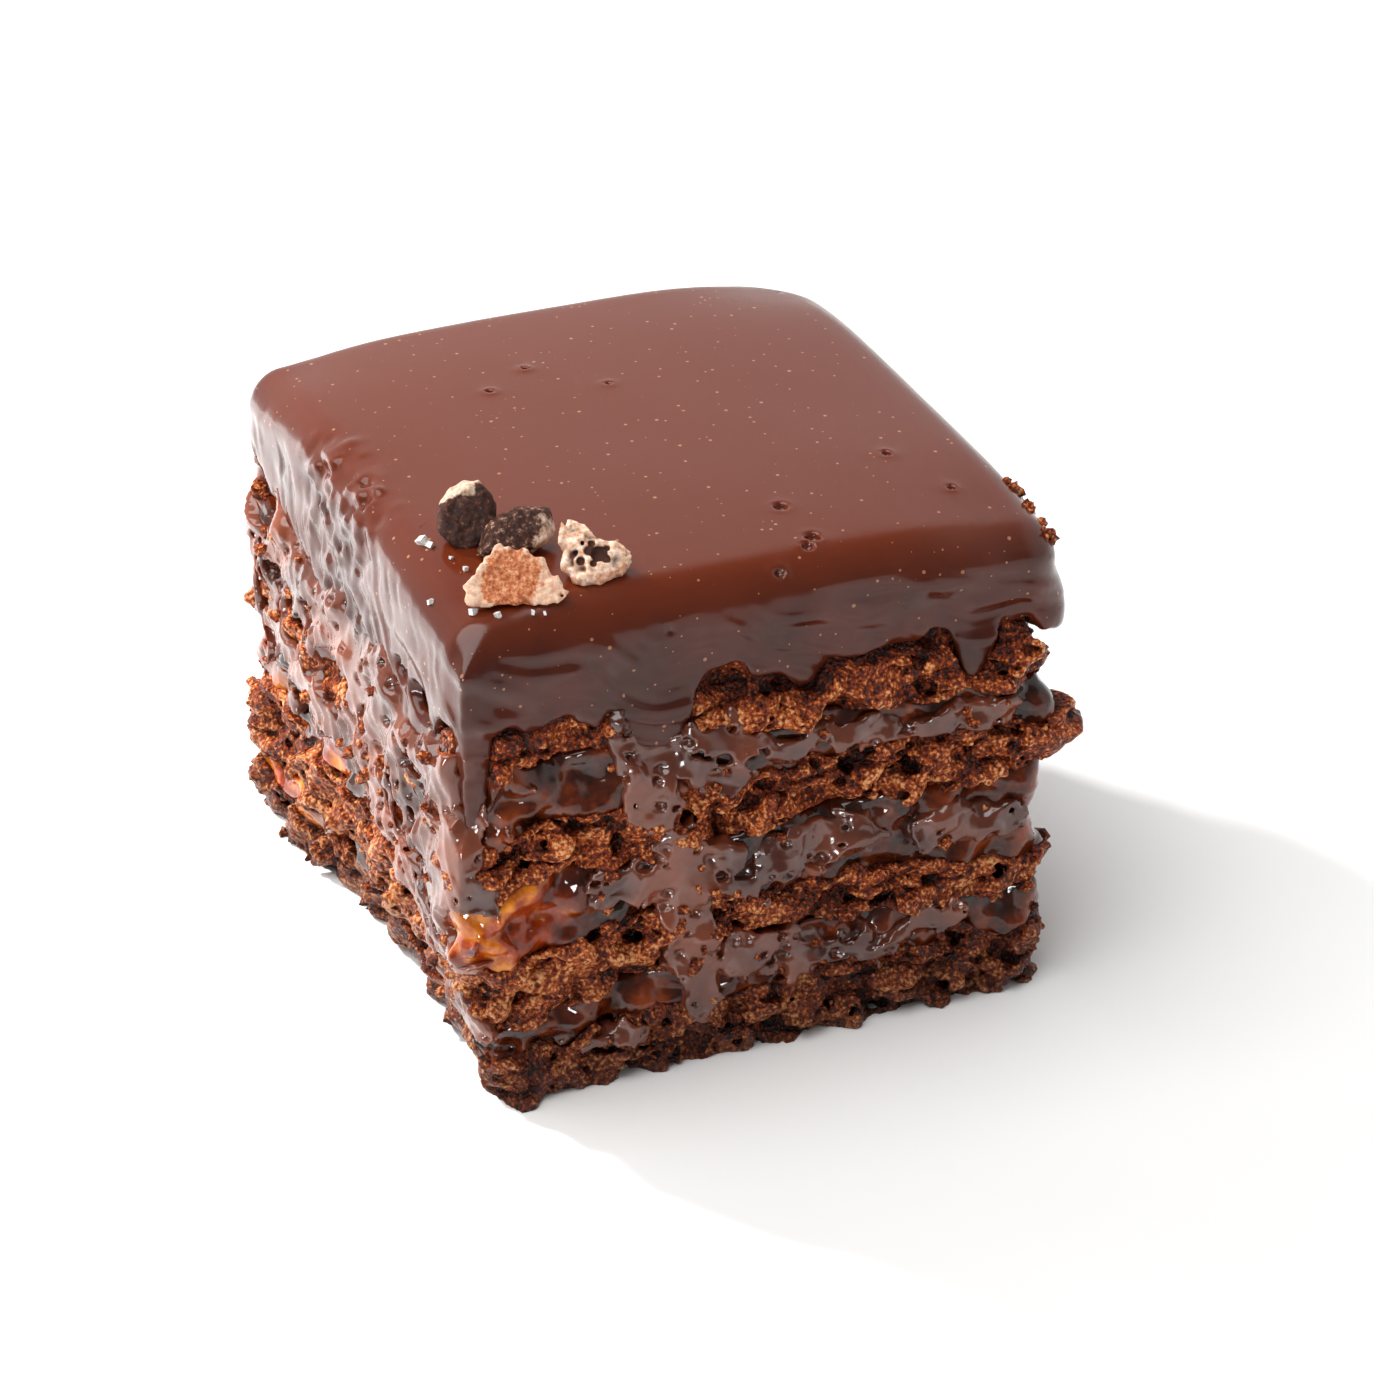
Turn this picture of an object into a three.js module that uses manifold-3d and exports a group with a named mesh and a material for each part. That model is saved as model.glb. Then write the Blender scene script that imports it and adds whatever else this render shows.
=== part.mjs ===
// A hand-cut square of layered chocolate torte, standing on z = 0, +Z up, in millimetres.
// From the bottom: four sponges with a jam filling between each pair, then chocolate glaze that
// covers the top and runs down the sides, and four cocoa nibs pressed into it near one corner.
// The front face looks along -Y and the left face along -X.
import * as THREE from 'three';
import { mergeVertices } from 'three/addons/utils/BufferGeometryUtils.js';
import Module from 'manifold-3d';

const wasm = await Module();
wasm.setup();

// ---------------------------------------------------------------- the cut block
const WIDTH = 42; // left face to right face
const DEPTH = 45; // front face to back face
const CUT_CORNERS = { frontLeft: 1.7, frontRight: 1.7, backRight: 4.5, backLeft: 1.8 };
const OUTLINE_STEPS = 112; // points round the block, about 1.5 mm apart
const JOIN_GAP = 0.3; // clearance between pieces that touch

// The left side leans in towards the floor, most of all at the front.
const LEAN_DEPTH = 2.7;
const LEAN_HEIGHT = 18;
const LEAN_BACK_Y = 14; // no lean behind this line
const LEAN_FRONT_Y = 1; // full lean in front of this one

// ---------------------------------------------------------------- the layers
// Height of each join between two layers at the middle of the cake, with its rise from the
// middle to the right (tilt) and its sag or swell at both ends (bow), over JOIN_REACH.
const JOIN_REACH = 18;
const JOINS = [
  { middle: 5.2, tilt: 0.75, bow: -0.45 },
  { middle: 8.0, tilt: 1.2, bow: -1.2 },
  { middle: 12.5, tilt: -0.5, bow: -1.3 },
  { middle: 16.8, tilt: 0.35, bow: 0.35 },
  { middle: 21.7, tilt: 0.35, bow: -0.55 },
  { middle: 24.6, tilt: -0.6, bow: 0.1 },
  { middle: 32.4, tilt: 0.25, bow: -0.25 },
];
const JOIN_WAVE = 0.35; // hand-spread unevenness of the joins
const JOIN_WAVELENGTH = 19;

const LAYERS = [
  { name: 'sponge_1', kind: 'sponge', under: null, over: 0, bands: 4 },
  { name: 'jam_1', kind: 'jam', under: 0, over: 1, bands: 2 },
  { name: 'sponge_2', kind: 'sponge', under: 1, over: 2, bands: 4 },
  { name: 'jam_2', kind: 'jam', under: 2, over: 3, bands: 3 },
  { name: 'sponge_3', kind: 'sponge', under: 3, over: 4, bands: 4 },
  { name: 'jam_3', kind: 'jam', under: 4, over: 5, bands: 2 },
  { name: 'sponge_4', kind: 'sponge', under: 5, over: 6, bands: 5 },
];

// How far each kind of side stands out from the block's outline, and how rugged it is.
const STAND_OUT = { sponge: 0.25, jam: -0.15 };
const CRAG_DEPTH = { sponge: 0.65, jam: 0.4 };
const GLAZE_BED = 1.3; // the sides stand this far back under the glaze

// Bulges (push > 0) and hollows (push < 0) of the sides that show from a step away.
const SIDE_FORMS = [
  { at: [-19.5, -22.5, 13.8], radius: 3.4, push: 1.1 }, // fat jam at the front left corner
  { at: [-21, -22.5, 0.5], radius: 3.2, push: 0.9 }, // spread foot of the same corner
  { at: [-21, 22.5, 4.8], radius: 4, push: 1.1 }, // and of the back left one
  { at: [-13, -22.5, 26], radius: 2.6, push: -1.5 }, // hollow under the glaze
  { at: [-2.5, -22.5, 28], radius: 2.4, push: -1.7 }, // hollow beside the wide drip
  { at: [5, -22.5, 17.3], radius: 2.8, push: -1.6 }, // hollow over the middle jam
  { at: [-3, -22.5, 17.6], radius: 2.2, push: -1 },
  { at: [4, -22.5, 7], radius: 3.2, push: -0.9 },
  { at: [-9, -22.5, 8], radius: 1.8, push: -0.9 },
  { at: [21, -21, 19.4], radius: 1.5, push: 3.2 }, // spike of sponge at the right
  { at: [21, -20, 22], radius: 1.7, push: 0.8 },
  { at: [21, -21, 9.8], radius: 1.3, push: 1.3 },
  { at: [21, -21, 4.8], radius: 1.8, push: 0.7 },
  { at: [-21, -2, 27], radius: 2.4, push: -0.8 },
  { at: [-21, 18, 27.5], radius: 3, push: -1.1 },
  { at: [-21, -14, 19.5], radius: 2.4, push: -0.8 },
  { at: [-21, 6, 18], radius: 3, push: 0.7 },
  { at: [6, 22.5, 12], radius: 3.2, push: -1.2 },
  { at: [-9, 22.5, 19], radius: 2.8, push: -1.1 },
  { at: [21, 6, 15], radius: 3, push: -1.2 },
  { at: [21, 13, 24], radius: 2.4, push: -1 },
];

// ---------------------------------------------------------------- the glaze
const GLAZE_OVERHANG = 0.8; // the glaze is this much wider than the block, on its right side
const GLAZE_CORNERS = { frontLeft: 2.9, frontRight: 3, backRight: 6, backLeft: 2.3 };
const GLAZE_TOP = 37; // highest point, at the middle
const CROWN_FALL = 0.5; // the top is this much lower where its edges start to round
const CORNER_FALL = 1.1; // and this much more at each corner
const CORNER_REACH = 7;
const GLAZE_FILLET = 2.7;
const GLAZE_EDGE = 28.6; // usual height of the lower edge on the sides
const LIP_ROUND = 0.5;

// Runs of glaze: each lowers the edge by drop (or lifts it, if negative) within its width.
const DRIPS = [
  { at: [-20.4, -22.3], drop: 8.2, width: 1.5 }, // long run down the front left corner
  { at: [-7.3, -22.5], drop: 5.6, width: 2.3 }, // wide run on the front
  { at: [-12.5, -22.5], drop: 1.3, width: 1.5 },
  { at: [-2.6, -22.5], drop: -1.2, width: 1.9 },
  { at: [3.2, -22.5], drop: 1.4, width: 1.3 },
  { at: [15.5, -22.5], drop: 2.9, width: 1.5 },
  { at: [21, -20.5], drop: 1.6, width: 2 }, // fat end at the front right corner
  { at: [-21, -13], drop: 4.6, width: 4.6 },
  { at: [-21, -3], drop: 2.8, width: 5 },
  { at: [-21, 8], drop: 3.4, width: 6 },
  { at: [-19, 19], drop: 2.4, width: 3.4 },
  { at: [21, -8], drop: -0.8, width: 4 },
  { at: [21, 2], drop: 3.8, width: 2 },
  { at: [21, 12], drop: 1.6, width: 3 },
  { at: [12, 22.5], drop: 4.2, width: 2.1 },
  { at: [3, 22.5], drop: -0.9, width: 2.5 },
  { at: [-4, 22.5], drop: 2, width: 1.8 },
  { at: [-12, 22.5], drop: 3.2, width: 2.4 },
];

// The glaze gathers into a fat lower edge along the right side.
const RIGHT_SWELL = { push: 1.2, height: 28.6, reach: 3.2 };

// ---------------------------------------------------------------- the cocoa nibs
// half = half width, half height and half thickness, in the nib's own plane and across it.
// turn, tilt and roll are in degrees: the plane's heading, how far it stands up from lying
// flat, and its turn within its own plane. corners give the outline as [direction, reach].
const NIBS = [
  {
    name: 'nib_1', // split half bean, standing
    centre: [-16.2, -11.2, 38.3],
    half: [1.85, 2.3, 1.2],
    turn: -22,
    tilt: 72,
    roll: -14,
    cup: 0,
    corners: [[20, 0.04], [150, 0.05], [250, -0.06]],
  },
  {
    name: 'nib_2', // oblong chip with cut faces
    centre: [-13.8, -14, 37.85],
    half: [2.7, 1.65, 1.35],
    turn: -22,
    tilt: 60,
    roll: 27,
    cup: 0,
    corners: [[35, 0.1], [-28, 0.12], [175, 0.04], [90, -0.06]],
  },
  {
    name: 'nib_3', // flake of shell, leaning back on the chip
    centre: [-15.8, -18.6, 37.05],
    half: [2.75, 1.9, 0.55],
    turn: -22,
    tilt: 50,
    roll: 0,
    cup: 0.5,
    corners: [[102, 0.28], [208, 0.3], [334, 0.3], [270, -0.2], [150, -0.14], [40, -0.05]],
  },
  {
    name: 'nib_4', // puffed crumb with a knob
    centre: [-10.2, -18.6, 37.4],
    half: [2.15, 1.55, 1.2],
    turn: -22,
    tilt: 42,
    roll: 4,
    cup: 0.15,
    corners: [[116, 0.75], [70, -0.12], [10, 0.06], [250, 0.1]],
  },
];
const NIB_CORNER_SPREAD = 0.42; // radians
const NIB_LUMP = 0.07; // share of the radius
const NIB_DETAIL = 2;

// ---------------------------------------------------------------- colours and finishes
const FINISHES = {
  sponge: { color: 0x6e3a1d, roughness: 0.75, metalness: 0 },
  jam: { color: 0x8a3c14, roughness: 0.2, metalness: 0 },
  glaze: { color: 0x5c2f22, roughness: 0.15, metalness: 0 },
  nibDark: { color: 0x45281f, roughness: 0.6, metalness: 0 },
  nibPale: { color: 0xc08a62, roughness: 0.7, metalness: 0 },
};

// ---------------------------------------------------------------- helpers
const bell = (distance, radius) => Math.exp(-((distance / radius) ** 2));
const blunt = (distance, radius) => Math.exp(-((distance / radius) ** 4));
const mix = (from, to, share) => from + (to - from) * share;

// Equally spaced points round the block, seen from above and counter-clockwise, each with
// the direction that faces out of the cake there.
function makeOutline(corners, overhang) {
  const left = -WIDTH / 2;
  const right = WIDTH / 2 + overhang;
  const back = DEPTH / 2;
  const { frontLeft, frontRight, backRight, backLeft } = corners;
  const quarter = Math.PI / 2;
  const path = new THREE.Path();
  path.moveTo(left + frontLeft, -back);
  path.lineTo(right - frontRight, -back);
  path.absarc(right - frontRight, -back + frontRight, frontRight, -quarter, 0);
  path.absarc(right - backRight, back - backRight, backRight, 0, quarter);
  path.absarc(left + backLeft, back - backLeft, backLeft, quarter, 2 * quarter);
  path.absarc(left + frontLeft, -back + frontLeft, frontLeft, 2 * quarter, 3 * quarter);
  path.arcLengthDivisions = 2000;
  const outline = [];
  for (let step = 0; step < OUTLINE_STEPS; step += 1) {
    const along = step / OUTLINE_STEPS;
    const point = path.getPointAt(along);
    const tangent = path.getTangentAt(along);
    outline.push({ x: point.x, y: point.y, outX: tangent.y, outY: -tangent.x });
  }
  return outline;
}
const CUT_OUTLINE = makeOutline(CUT_CORNERS, 0);
const GLAZE_OUTLINE = makeOutline(GLAZE_CORNERS, GLAZE_OVERHANG);

// Ruggedness of a cut side, about -1 to 1, with knobs roughly 3 mm apart.
function crag(x, y, z) {
  const first = Math.sin(0.9 * x + 1.7 * z + 0.5 * y);
  const second = Math.sin(-1.2 * x + 1.3 * z + 1.6 * y + 2);
  const third = Math.sin(1.7 * x - 0.8 * z - 1.1 * y + 4.1);
  return (first + second + third) / 2.4;
}

// Height of a join where it reaches the outline.
function joinHeight(join, x, y) {
  const reach = x / JOIN_REACH;
  const phase = (2 * Math.PI) / JOIN_WAVELENGTH;
  const wave = JOIN_WAVE * Math.sin(phase * (x + join.middle)) * Math.cos(phase * (y - join.middle));
  return join.middle + join.tilt * reach + join.bow * reach * reach + wave;
}

// Every join is a shallow cone from its middle to the outline, so that two neighbours which
// end at different depths still meet along the same surface.
function joinAt(index, point, x, y) {
  const join = JOINS[index];
  const share = Math.hypot(x, y) / Math.hypot(point.x, point.y);
  return mix(join.middle, joinHeight(join, point.x, point.y), share);
}

function glazeEdge(point) {
  let height = GLAZE_EDGE;
  for (const drip of DRIPS) {
    const distance = Math.hypot(point.x - drip.at[0], point.y - drip.at[1]);
    height -= drip.drop * blunt(distance, drip.width);
  }
  return height;
}

// How far a side stands out from the outline (negative is behind it).
function sidePush(kind, point, z) {
  let push = STAND_OUT[kind] + CRAG_DEPTH[kind] * crag(point.x, point.y, z);
  for (const form of SIDE_FORMS) {
    const [x, y, height] = form.at;
    const distance = Math.hypot(point.x - x, point.y - y, z - height);
    push += form.push * bell(distance, form.radius);
  }
  const edge = glazeEdge(point);
  const covered = THREE.MathUtils.smoothstep(z, edge - 1.2, edge);
  return mix(push, -GLAZE_BED, covered);
}

function leanIn(x, y, z) {
  if (x >= 0 || z >= LEAN_HEIGHT) {
    return x;
  }
  const front = 1 - THREE.MathUtils.smoothstep(y, LEAN_FRONT_Y, LEAN_BACK_Y);
  const depth = LEAN_DEPTH * front * (1 - z / LEAN_HEIGHT) ** 2;
  return x * (1 - depth / (WIDTH / 2));
}

// Rings of points from the bottom up, closed by a fan at each end.
function closeRings(rings, bottomCentre, topCentre) {
  const count = OUTLINE_STEPS;
  const positions = rings.flat(2);
  positions.push(...bottomCentre, ...topCentre);
  const bottom = rings.length * count;
  const top = bottom + 1;
  const index = [];
  for (let step = 0; step < count; step += 1) {
    const next = (step + 1) % count;
    for (let ring = 0; ring < rings.length - 1; ring += 1) {
      const low = ring * count;
      const high = low + count;
      index.push(low + step, low + next, high + next);
      index.push(low + step, high + next, high + step);
    }
    const last = (rings.length - 1) * count;
    index.push(bottom, next, step);
    index.push(top, last + step, last + next);
  }
  const geometry = new THREE.BufferGeometry();
  geometry.setAttribute('position', new THREE.Float32BufferAttribute(positions, 3));
  geometry.setIndex(index);
  return geometry;
}

// ---------------------------------------------------------------- sponge and jam
function layerRings(layer, grow = 0) {
  const rings = [];
  for (let band = 0; band <= layer.bands; band += 1) {
    const share = band / layer.bands;
    rings.push(CUT_OUTLINE.map((point) => {
      const floor = layer.under === null ? 0 : joinHeight(JOINS[layer.under], point.x, point.y);
      const roof = joinHeight(JOINS[layer.over], point.x, point.y);
      const push = sidePush(layer.kind, point, mix(floor, roof, share)) + grow;
      const y = point.y + point.outY * push;
      const x = leanIn(point.x + point.outX * push, y, mix(floor, roof, share));
      const low = layer.under === null ? 0 : joinAt(layer.under, point, x, y) + JOIN_GAP / 2;
      const high = joinAt(layer.over, point, x, y) - JOIN_GAP / 2;
      return [x, y, mix(low, high, share)];
    }));
  }
  return rings;
}

function makeLayer(layer) {
  const low = layer.under === null ? 0 : JOINS[layer.under].middle + JOIN_GAP / 2;
  const high = JOINS[layer.over].middle - JOIN_GAP / 2;
  return closeRings(layerRings(layer), [0, 0, low], [0, 0, high]);
}

// ---------------------------------------------------------------- booleans
function toSolid(geometry) {
  const bare = new THREE.BufferGeometry();
  bare.setAttribute('position', geometry.getAttribute('position'));
  bare.setIndex(geometry.index);
  const merged = mergeVertices(bare);
  return new wasm.Manifold(new wasm.Mesh({
    numProp: 3,
    vertProperties: new Float32Array(merged.getAttribute('position').array),
    triVerts: new Uint32Array(merged.index.array),
  }));
}

function toGeometry(solid) {
  const mesh = solid.getMesh();
  const geometry = new THREE.BufferGeometry();
  geometry.setAttribute('position', new THREE.BufferAttribute(mesh.vertProperties, 3));
  geometry.setIndex(new THREE.BufferAttribute(mesh.triVerts, 1));
  return geometry;
}

// ---------------------------------------------------------------- glaze
// Height where the glaze's top edge starts to round over.
function glazeRim(point) {
  const cornerX = WIDTH / 2 - Math.abs(point.x);
  const cornerY = DEPTH / 2 - Math.abs(point.y);
  const fall = CROWN_FALL + CORNER_FALL * bell(Math.hypot(cornerX, cornerY), CORNER_REACH);
  return GLAZE_TOP - fall - GLAZE_FILLET;
}

function rightSwell(point, z) {
  const facing = Math.max(point.outX, 0);
  return RIGHT_SWELL.push * facing * bell(z - RIGHT_SWELL.height, RIGHT_SWELL.reach);
}

// The glaze's outer form: a rounded lip, the sides, the rounded edge and the crowned top.
function glazeBlock() {
  const sideRing = (push, rise) => GLAZE_OUTLINE.map((point) => {
    const edge = glazeEdge(point);
    const rim = glazeRim(point);
    const z = mix(edge, rim, rise) + (rise === 0 ? 0 : LIP_ROUND * (1 - rise));
    const out = push + rightSwell(point, z);
    return [point.x + point.outX * out, point.y + point.outY * out, z];
  });
  const roundRing = (angle) => GLAZE_OUTLINE.map((point) => {
    const z = glazeRim(point) + GLAZE_FILLET * Math.sin(angle);
    const inset = GLAZE_FILLET * (1 - Math.cos(angle));
    const out = rightSwell(point, z) * Math.cos(angle) - inset;
    return [point.x + point.outX * out, point.y + point.outY * out, z];
  });
  const crownRing = (share) => GLAZE_OUTLINE.map((point) => {
    const x = (point.x - point.outX * GLAZE_FILLET) * share;
    const y = (point.y - point.outY * GLAZE_FILLET) * share;
    const edge = glazeRim(point) + GLAZE_FILLET;
    return [x, y, mix(GLAZE_TOP, edge, share ** 3)];
  });
  const eighth = Math.PI / 8;
  const rings = [
    sideRing(-0.75, 0),
    sideRing(-0.12, 0.02),
    sideRing(0, 0.2),
    sideRing(0, 0.6),
    sideRing(0, 1),
    roundRing(eighth),
    roundRing(2 * eighth),
    roundRing(3 * eighth),
    crownRing(1),
    crownRing(0.82),
    crownRing(0.5),
  ];
  return closeRings(rings, [0, 0, GLAZE_EDGE - 2], [0, 0, GLAZE_TOP]);
}

// What the glaze lies on: the upper layers, grown by the clearance.
function glazeCore() {
  const rings = LAYERS.slice(4).flatMap((layer) => layerRings(layer, JOIN_GAP));
  const last = rings[rings.length - 1];
  rings.push(last.map(([x, y, z]) => [x, y, z + JOIN_GAP]));
  const low = JOINS[LAYERS[4].under].middle;
  const high = JOINS[LAYERS[6].over].middle + JOIN_GAP / 2;
  return closeRings(rings, [0, 0, low], [0, 0, high]);
}

// ---------------------------------------------------------------- cocoa nibs
function nibLump(x, y, z) {
  return Math.sin(2.3 * x + 1.1) * Math.sin(2.9 * y - 0.4) + Math.sin(3.1 * z + 0.7) * 0.6;
}

function makeNib(nib, grow = 0) {
  const ball = new THREE.IcosahedronGeometry(1, NIB_DETAIL);
  ball.deleteAttribute('normal');
  ball.deleteAttribute('uv');
  const geometry = mergeVertices(ball);
  const spot = geometry.getAttribute('position');
  const [halfWidth, halfHeight, halfThickness] = nib.half.map((size) => size + grow);
  const seed = nib.centre[0];
  for (let i = 0; i < spot.count; i += 1) {
    const [x, y, z] = [spot.getX(i), spot.getY(i), spot.getZ(i)];
    const heading = Math.atan2(y, x);
    let reach = 1 + NIB_LUMP * nibLump(x + seed, y, z);
    for (const [direction, height] of nib.corners) {
      const away = heading - THREE.MathUtils.degToRad(direction);
      const turn = Math.abs(Math.atan2(Math.sin(away), Math.cos(away)));
      reach += height * bell(turn, NIB_CORNER_SPREAD) * Math.hypot(x, y);
    }
    const cupped = nib.cup * (x * x + y * y - 0.5);
    spot.setXYZ(i, x * halfWidth * reach, y * halfHeight * reach, z * halfThickness + cupped);
  }
  const place = new THREE.Matrix4().makeTranslation(...nib.centre);
  place.multiply(new THREE.Matrix4().makeRotationZ(THREE.MathUtils.degToRad(nib.turn)));
  place.multiply(new THREE.Matrix4().makeRotationX(THREE.MathUtils.degToRad(nib.tilt)));
  place.multiply(new THREE.Matrix4().makeRotationZ(THREE.MathUtils.degToRad(nib.roll)));
  geometry.applyMatrix4(place);
  return geometry;
}

function makeGlaze() {
  let solid = toSolid(glazeBlock()).subtract(toSolid(glazeCore()));
  for (const nib of NIBS) {
    solid = solid.subtract(toSolid(makeNib(nib, JOIN_GAP)));
  }
  return toGeometry(solid);
}

// ---------------------------------------------------------------- the cake
function addMesh(group, name, geometry, finish) {
  const mesh = new THREE.Mesh(geometry, new THREE.MeshStandardMaterial(finish));
  mesh.name = name;
  group.add(mesh);
}

const cake = new THREE.Group();
for (const layer of LAYERS) {
  addMesh(cake, layer.name, makeLayer(layer), FINISHES[layer.kind]);
}
addMesh(cake, 'glaze', makeGlaze(), FINISHES.glaze);
for (const nib of NIBS) {
  const dark = nib.name === 'nib_1' || nib.name === 'nib_2';
  addMesh(cake, nib.name, makeNib(nib), dark ? FINISHES.nibDark : FINISHES.nibPale);
}

// The spike of sponge reaches further than the other sides, so the block is moved to put the
// origin under the middle of the whole cake.
const whole = new THREE.Box3().setFromObject(cake, true);
cake.position.set(-(whole.min.x + whole.max.x) / 2, -(whole.min.y + whole.max.y) / 2, 0);

export default cake;
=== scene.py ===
# %% [markdown]
# # A square of layered chocolate torte
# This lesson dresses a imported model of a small, hand-cut piece of chocolate torte. The model says
# where everything is. Here each plain solid is replaced by a piece with the surface of the real
# food: open crumb, wet jam, poured glaze and roasted cocoa nibs.
#
# Most of these surfaces have holes, overhangs and runs, which are hard to push out of a grid of
# faces. So each piece is described as a field instead: a number at every point of space which is
# below zero inside the food and above zero outside. A surface is then drawn where it is zero.

# %% The frame and the CAD box
import math
import bmesh
import bpy
import numpy as np
import openvdb
from mathutils import Matrix, Vector
from mathutils.bvhtree import BVHTree


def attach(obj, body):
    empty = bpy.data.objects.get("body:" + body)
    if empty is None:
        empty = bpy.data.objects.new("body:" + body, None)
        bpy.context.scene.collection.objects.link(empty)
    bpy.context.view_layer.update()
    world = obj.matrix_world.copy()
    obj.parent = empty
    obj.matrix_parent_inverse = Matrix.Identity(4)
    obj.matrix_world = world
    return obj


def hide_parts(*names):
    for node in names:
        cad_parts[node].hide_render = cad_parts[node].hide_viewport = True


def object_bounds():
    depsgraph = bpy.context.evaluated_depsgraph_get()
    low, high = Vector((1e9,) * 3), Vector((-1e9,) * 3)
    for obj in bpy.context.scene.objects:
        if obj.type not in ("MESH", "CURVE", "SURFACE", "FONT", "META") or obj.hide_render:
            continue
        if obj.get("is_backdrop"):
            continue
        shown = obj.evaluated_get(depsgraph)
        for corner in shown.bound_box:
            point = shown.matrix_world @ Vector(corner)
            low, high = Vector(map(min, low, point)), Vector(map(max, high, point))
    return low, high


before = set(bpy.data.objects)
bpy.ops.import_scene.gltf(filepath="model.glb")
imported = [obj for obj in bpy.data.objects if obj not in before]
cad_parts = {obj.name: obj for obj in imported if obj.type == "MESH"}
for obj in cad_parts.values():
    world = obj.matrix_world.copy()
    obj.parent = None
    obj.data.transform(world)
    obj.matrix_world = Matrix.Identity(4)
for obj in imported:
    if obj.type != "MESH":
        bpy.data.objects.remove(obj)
cad_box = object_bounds()
MM = 0.001  # Blender works in metres, this lesson thinks in millimetres
print("nodes:", ", ".join(sorted(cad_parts)))
print("CAD box in mm:", [[round(c / MM, 1) for c in corner] for corner in cad_box])

# %% [markdown]
# ## The sizes of the cake
# These are the same named sizes as in the model: the cut block, its leaning left side, the joins
# between the layers, the forms that stand out of the sides and the runs of glaze. Repeating the
# sizes keeps the fine surface on the solid that it replaces. The block's own middle lies a
# little beside the frame's origin, because a spike of sponge sticks out on the right.

# %% Sizes in millimetres
BLOCK_MIDDLE = np.array([-0.886, 0.056, 0.0])
WIDTH, DEPTH = 42.0, 45.0
CUT_CORNERS = {"front_left": 1.7, "front_right": 1.7, "back_right": 4.5, "back_left": 1.8}
LEAN_DEPTH, LEAN_HEIGHT, LEAN_BACK_Y, LEAN_FRONT_Y = 2.7, 18.0, 14.0, 1.0

JOIN_REACH, JOIN_WAVE, JOIN_WAVELENGTH = 18.0, 0.35, 19.0
JOINS = [  # height at the middle, rise to the right, sag or swell at both ends
    (5.2, 0.75, -0.45), (8.0, 1.2, -1.2), (12.5, -0.5, -1.3), (16.8, 0.35, 0.35),
    (21.7, 0.35, -0.55), (24.6, -0.6, 0.1), (32.4, 0.25, -0.25),
]
SPONGES = {"sponge_1": (None, 0), "sponge_2": (1, 2), "sponge_3": (3, 4), "sponge_4": (5, 6)}
JAMS = {"jam_1": (0, 1), "jam_2": (2, 3), "jam_3": (4, 5)}

STAND_OUT = {"sponge": 0.25, "jam": -0.15}
CRAG_DEPTH = {"sponge": 0.65, "jam": 0.4}
GLAZE_BED = 1.3
SIDE_FORMS = [  # x, y, z, radius, push
    (-19.5, -22.5, 13.8, 3.4, 1.1), (-21, -22.5, 0.5, 3.2, 0.9), (-21, 22.5, 4.8, 4.0, 1.1),
    (-13, -22.5, 26, 2.6, -1.5), (-2.5, -22.5, 28, 2.4, -1.7), (5, -22.5, 17.3, 2.8, -1.6),
    (-3, -22.5, 17.6, 2.2, -1.0), (4, -22.5, 7, 3.2, -0.9), (-9, -22.5, 8, 1.8, -0.9),
    (21, -21, 19.4, 1.5, 3.2), (21, -20, 22, 1.7, 0.8), (21, -21, 9.8, 1.3, 1.3),
    (21, -21, 4.8, 1.8, 0.7), (-21, -2, 27, 2.4, -0.8), (-21, 18, 27.5, 3.0, -1.1),
    (-21, -14, 19.5, 2.4, -0.8), (-21, 6, 18, 3.0, 0.7), (6, 22.5, 12, 3.2, -1.2),
    (-9, 22.5, 19, 2.8, -1.1), (21, 6, 15, 3.0, -1.2), (21, 13, 24, 2.4, -1.0),
]

GLAZE_OVERHANG = 0.8
GLAZE_CORNERS = {"front_left": 2.9, "front_right": 3.0, "back_right": 6.0, "back_left": 2.3}
GLAZE_TOP, CROWN_FALL, CORNER_FALL, CORNER_REACH = 37.0, 0.5, 1.1, 7.0
GLAZE_FILLET, GLAZE_EDGE = 2.7, 28.6
RIGHT_SWELL, RIGHT_SWELL_HEIGHT, RIGHT_SWELL_REACH = 1.2, 28.6, 3.2
DRIPS = [  # x, y, drop, width
    (-20.4, -22.3, 8.2, 1.5), (-7.3, -22.5, 5.6, 2.3), (-12.5, -22.5, 1.3, 1.5),
    (-2.6, -22.5, -1.2, 1.9), (3.2, -22.5, 1.4, 1.3), (15.5, -22.5, 2.9, 1.5),
    (21, -20.5, 1.6, 2.0), (-21, -13, 4.6, 4.6), (-21, -3, 2.8, 5.0), (-21, 8, 3.4, 6.0),
    (-19, 19, 2.4, 3.4), (21, -8, -0.8, 4.0), (21, 2, 3.8, 2.0), (21, 12, 1.6, 3.0),
    (12, 22.5, 4.2, 2.1), (3, 22.5, -0.9, 2.5), (-4, 22.5, 2.0, 1.8), (-12, 22.5, 3.2, 2.4),
]
print(f"{len(SIDE_FORMS)} side forms, {len(DRIPS)} runs of glaze")

# %% [markdown]
# ## Grids, noise and surfaces
# A field is kept as an array over a box of space. Unevenness comes from random numbers on a coarse
# lattice, smoothly filled in between: a coarse lattice gives knobs, a fine one gives grain. All
# random draws start from written seeds, so the cake is the same each time. OpenVDB, which comes
# with Blender, finds the surface of a field in a fraction of a second.

# %% Grid helpers
BOX_LOW = (-24.6, -25.2)
BOX_HIGH = (25.4, 25.2)
LATTICE_START, LATTICE_END = -30.0, 42.0


def grid_axes(low, high, voxel):
    return [np.arange(a, b + voxel, voxel, dtype=np.float32) for a, b in zip(low, high)]


def cake_axes(z_low, z_high, voxel):
    return grid_axes((*BOX_LOW, z_low), (*BOX_HIGH, z_high), voxel)


print("fields reach", [round(high - low, 1) for low, high in zip(BOX_LOW, BOX_HIGH)], "mm across")

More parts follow.
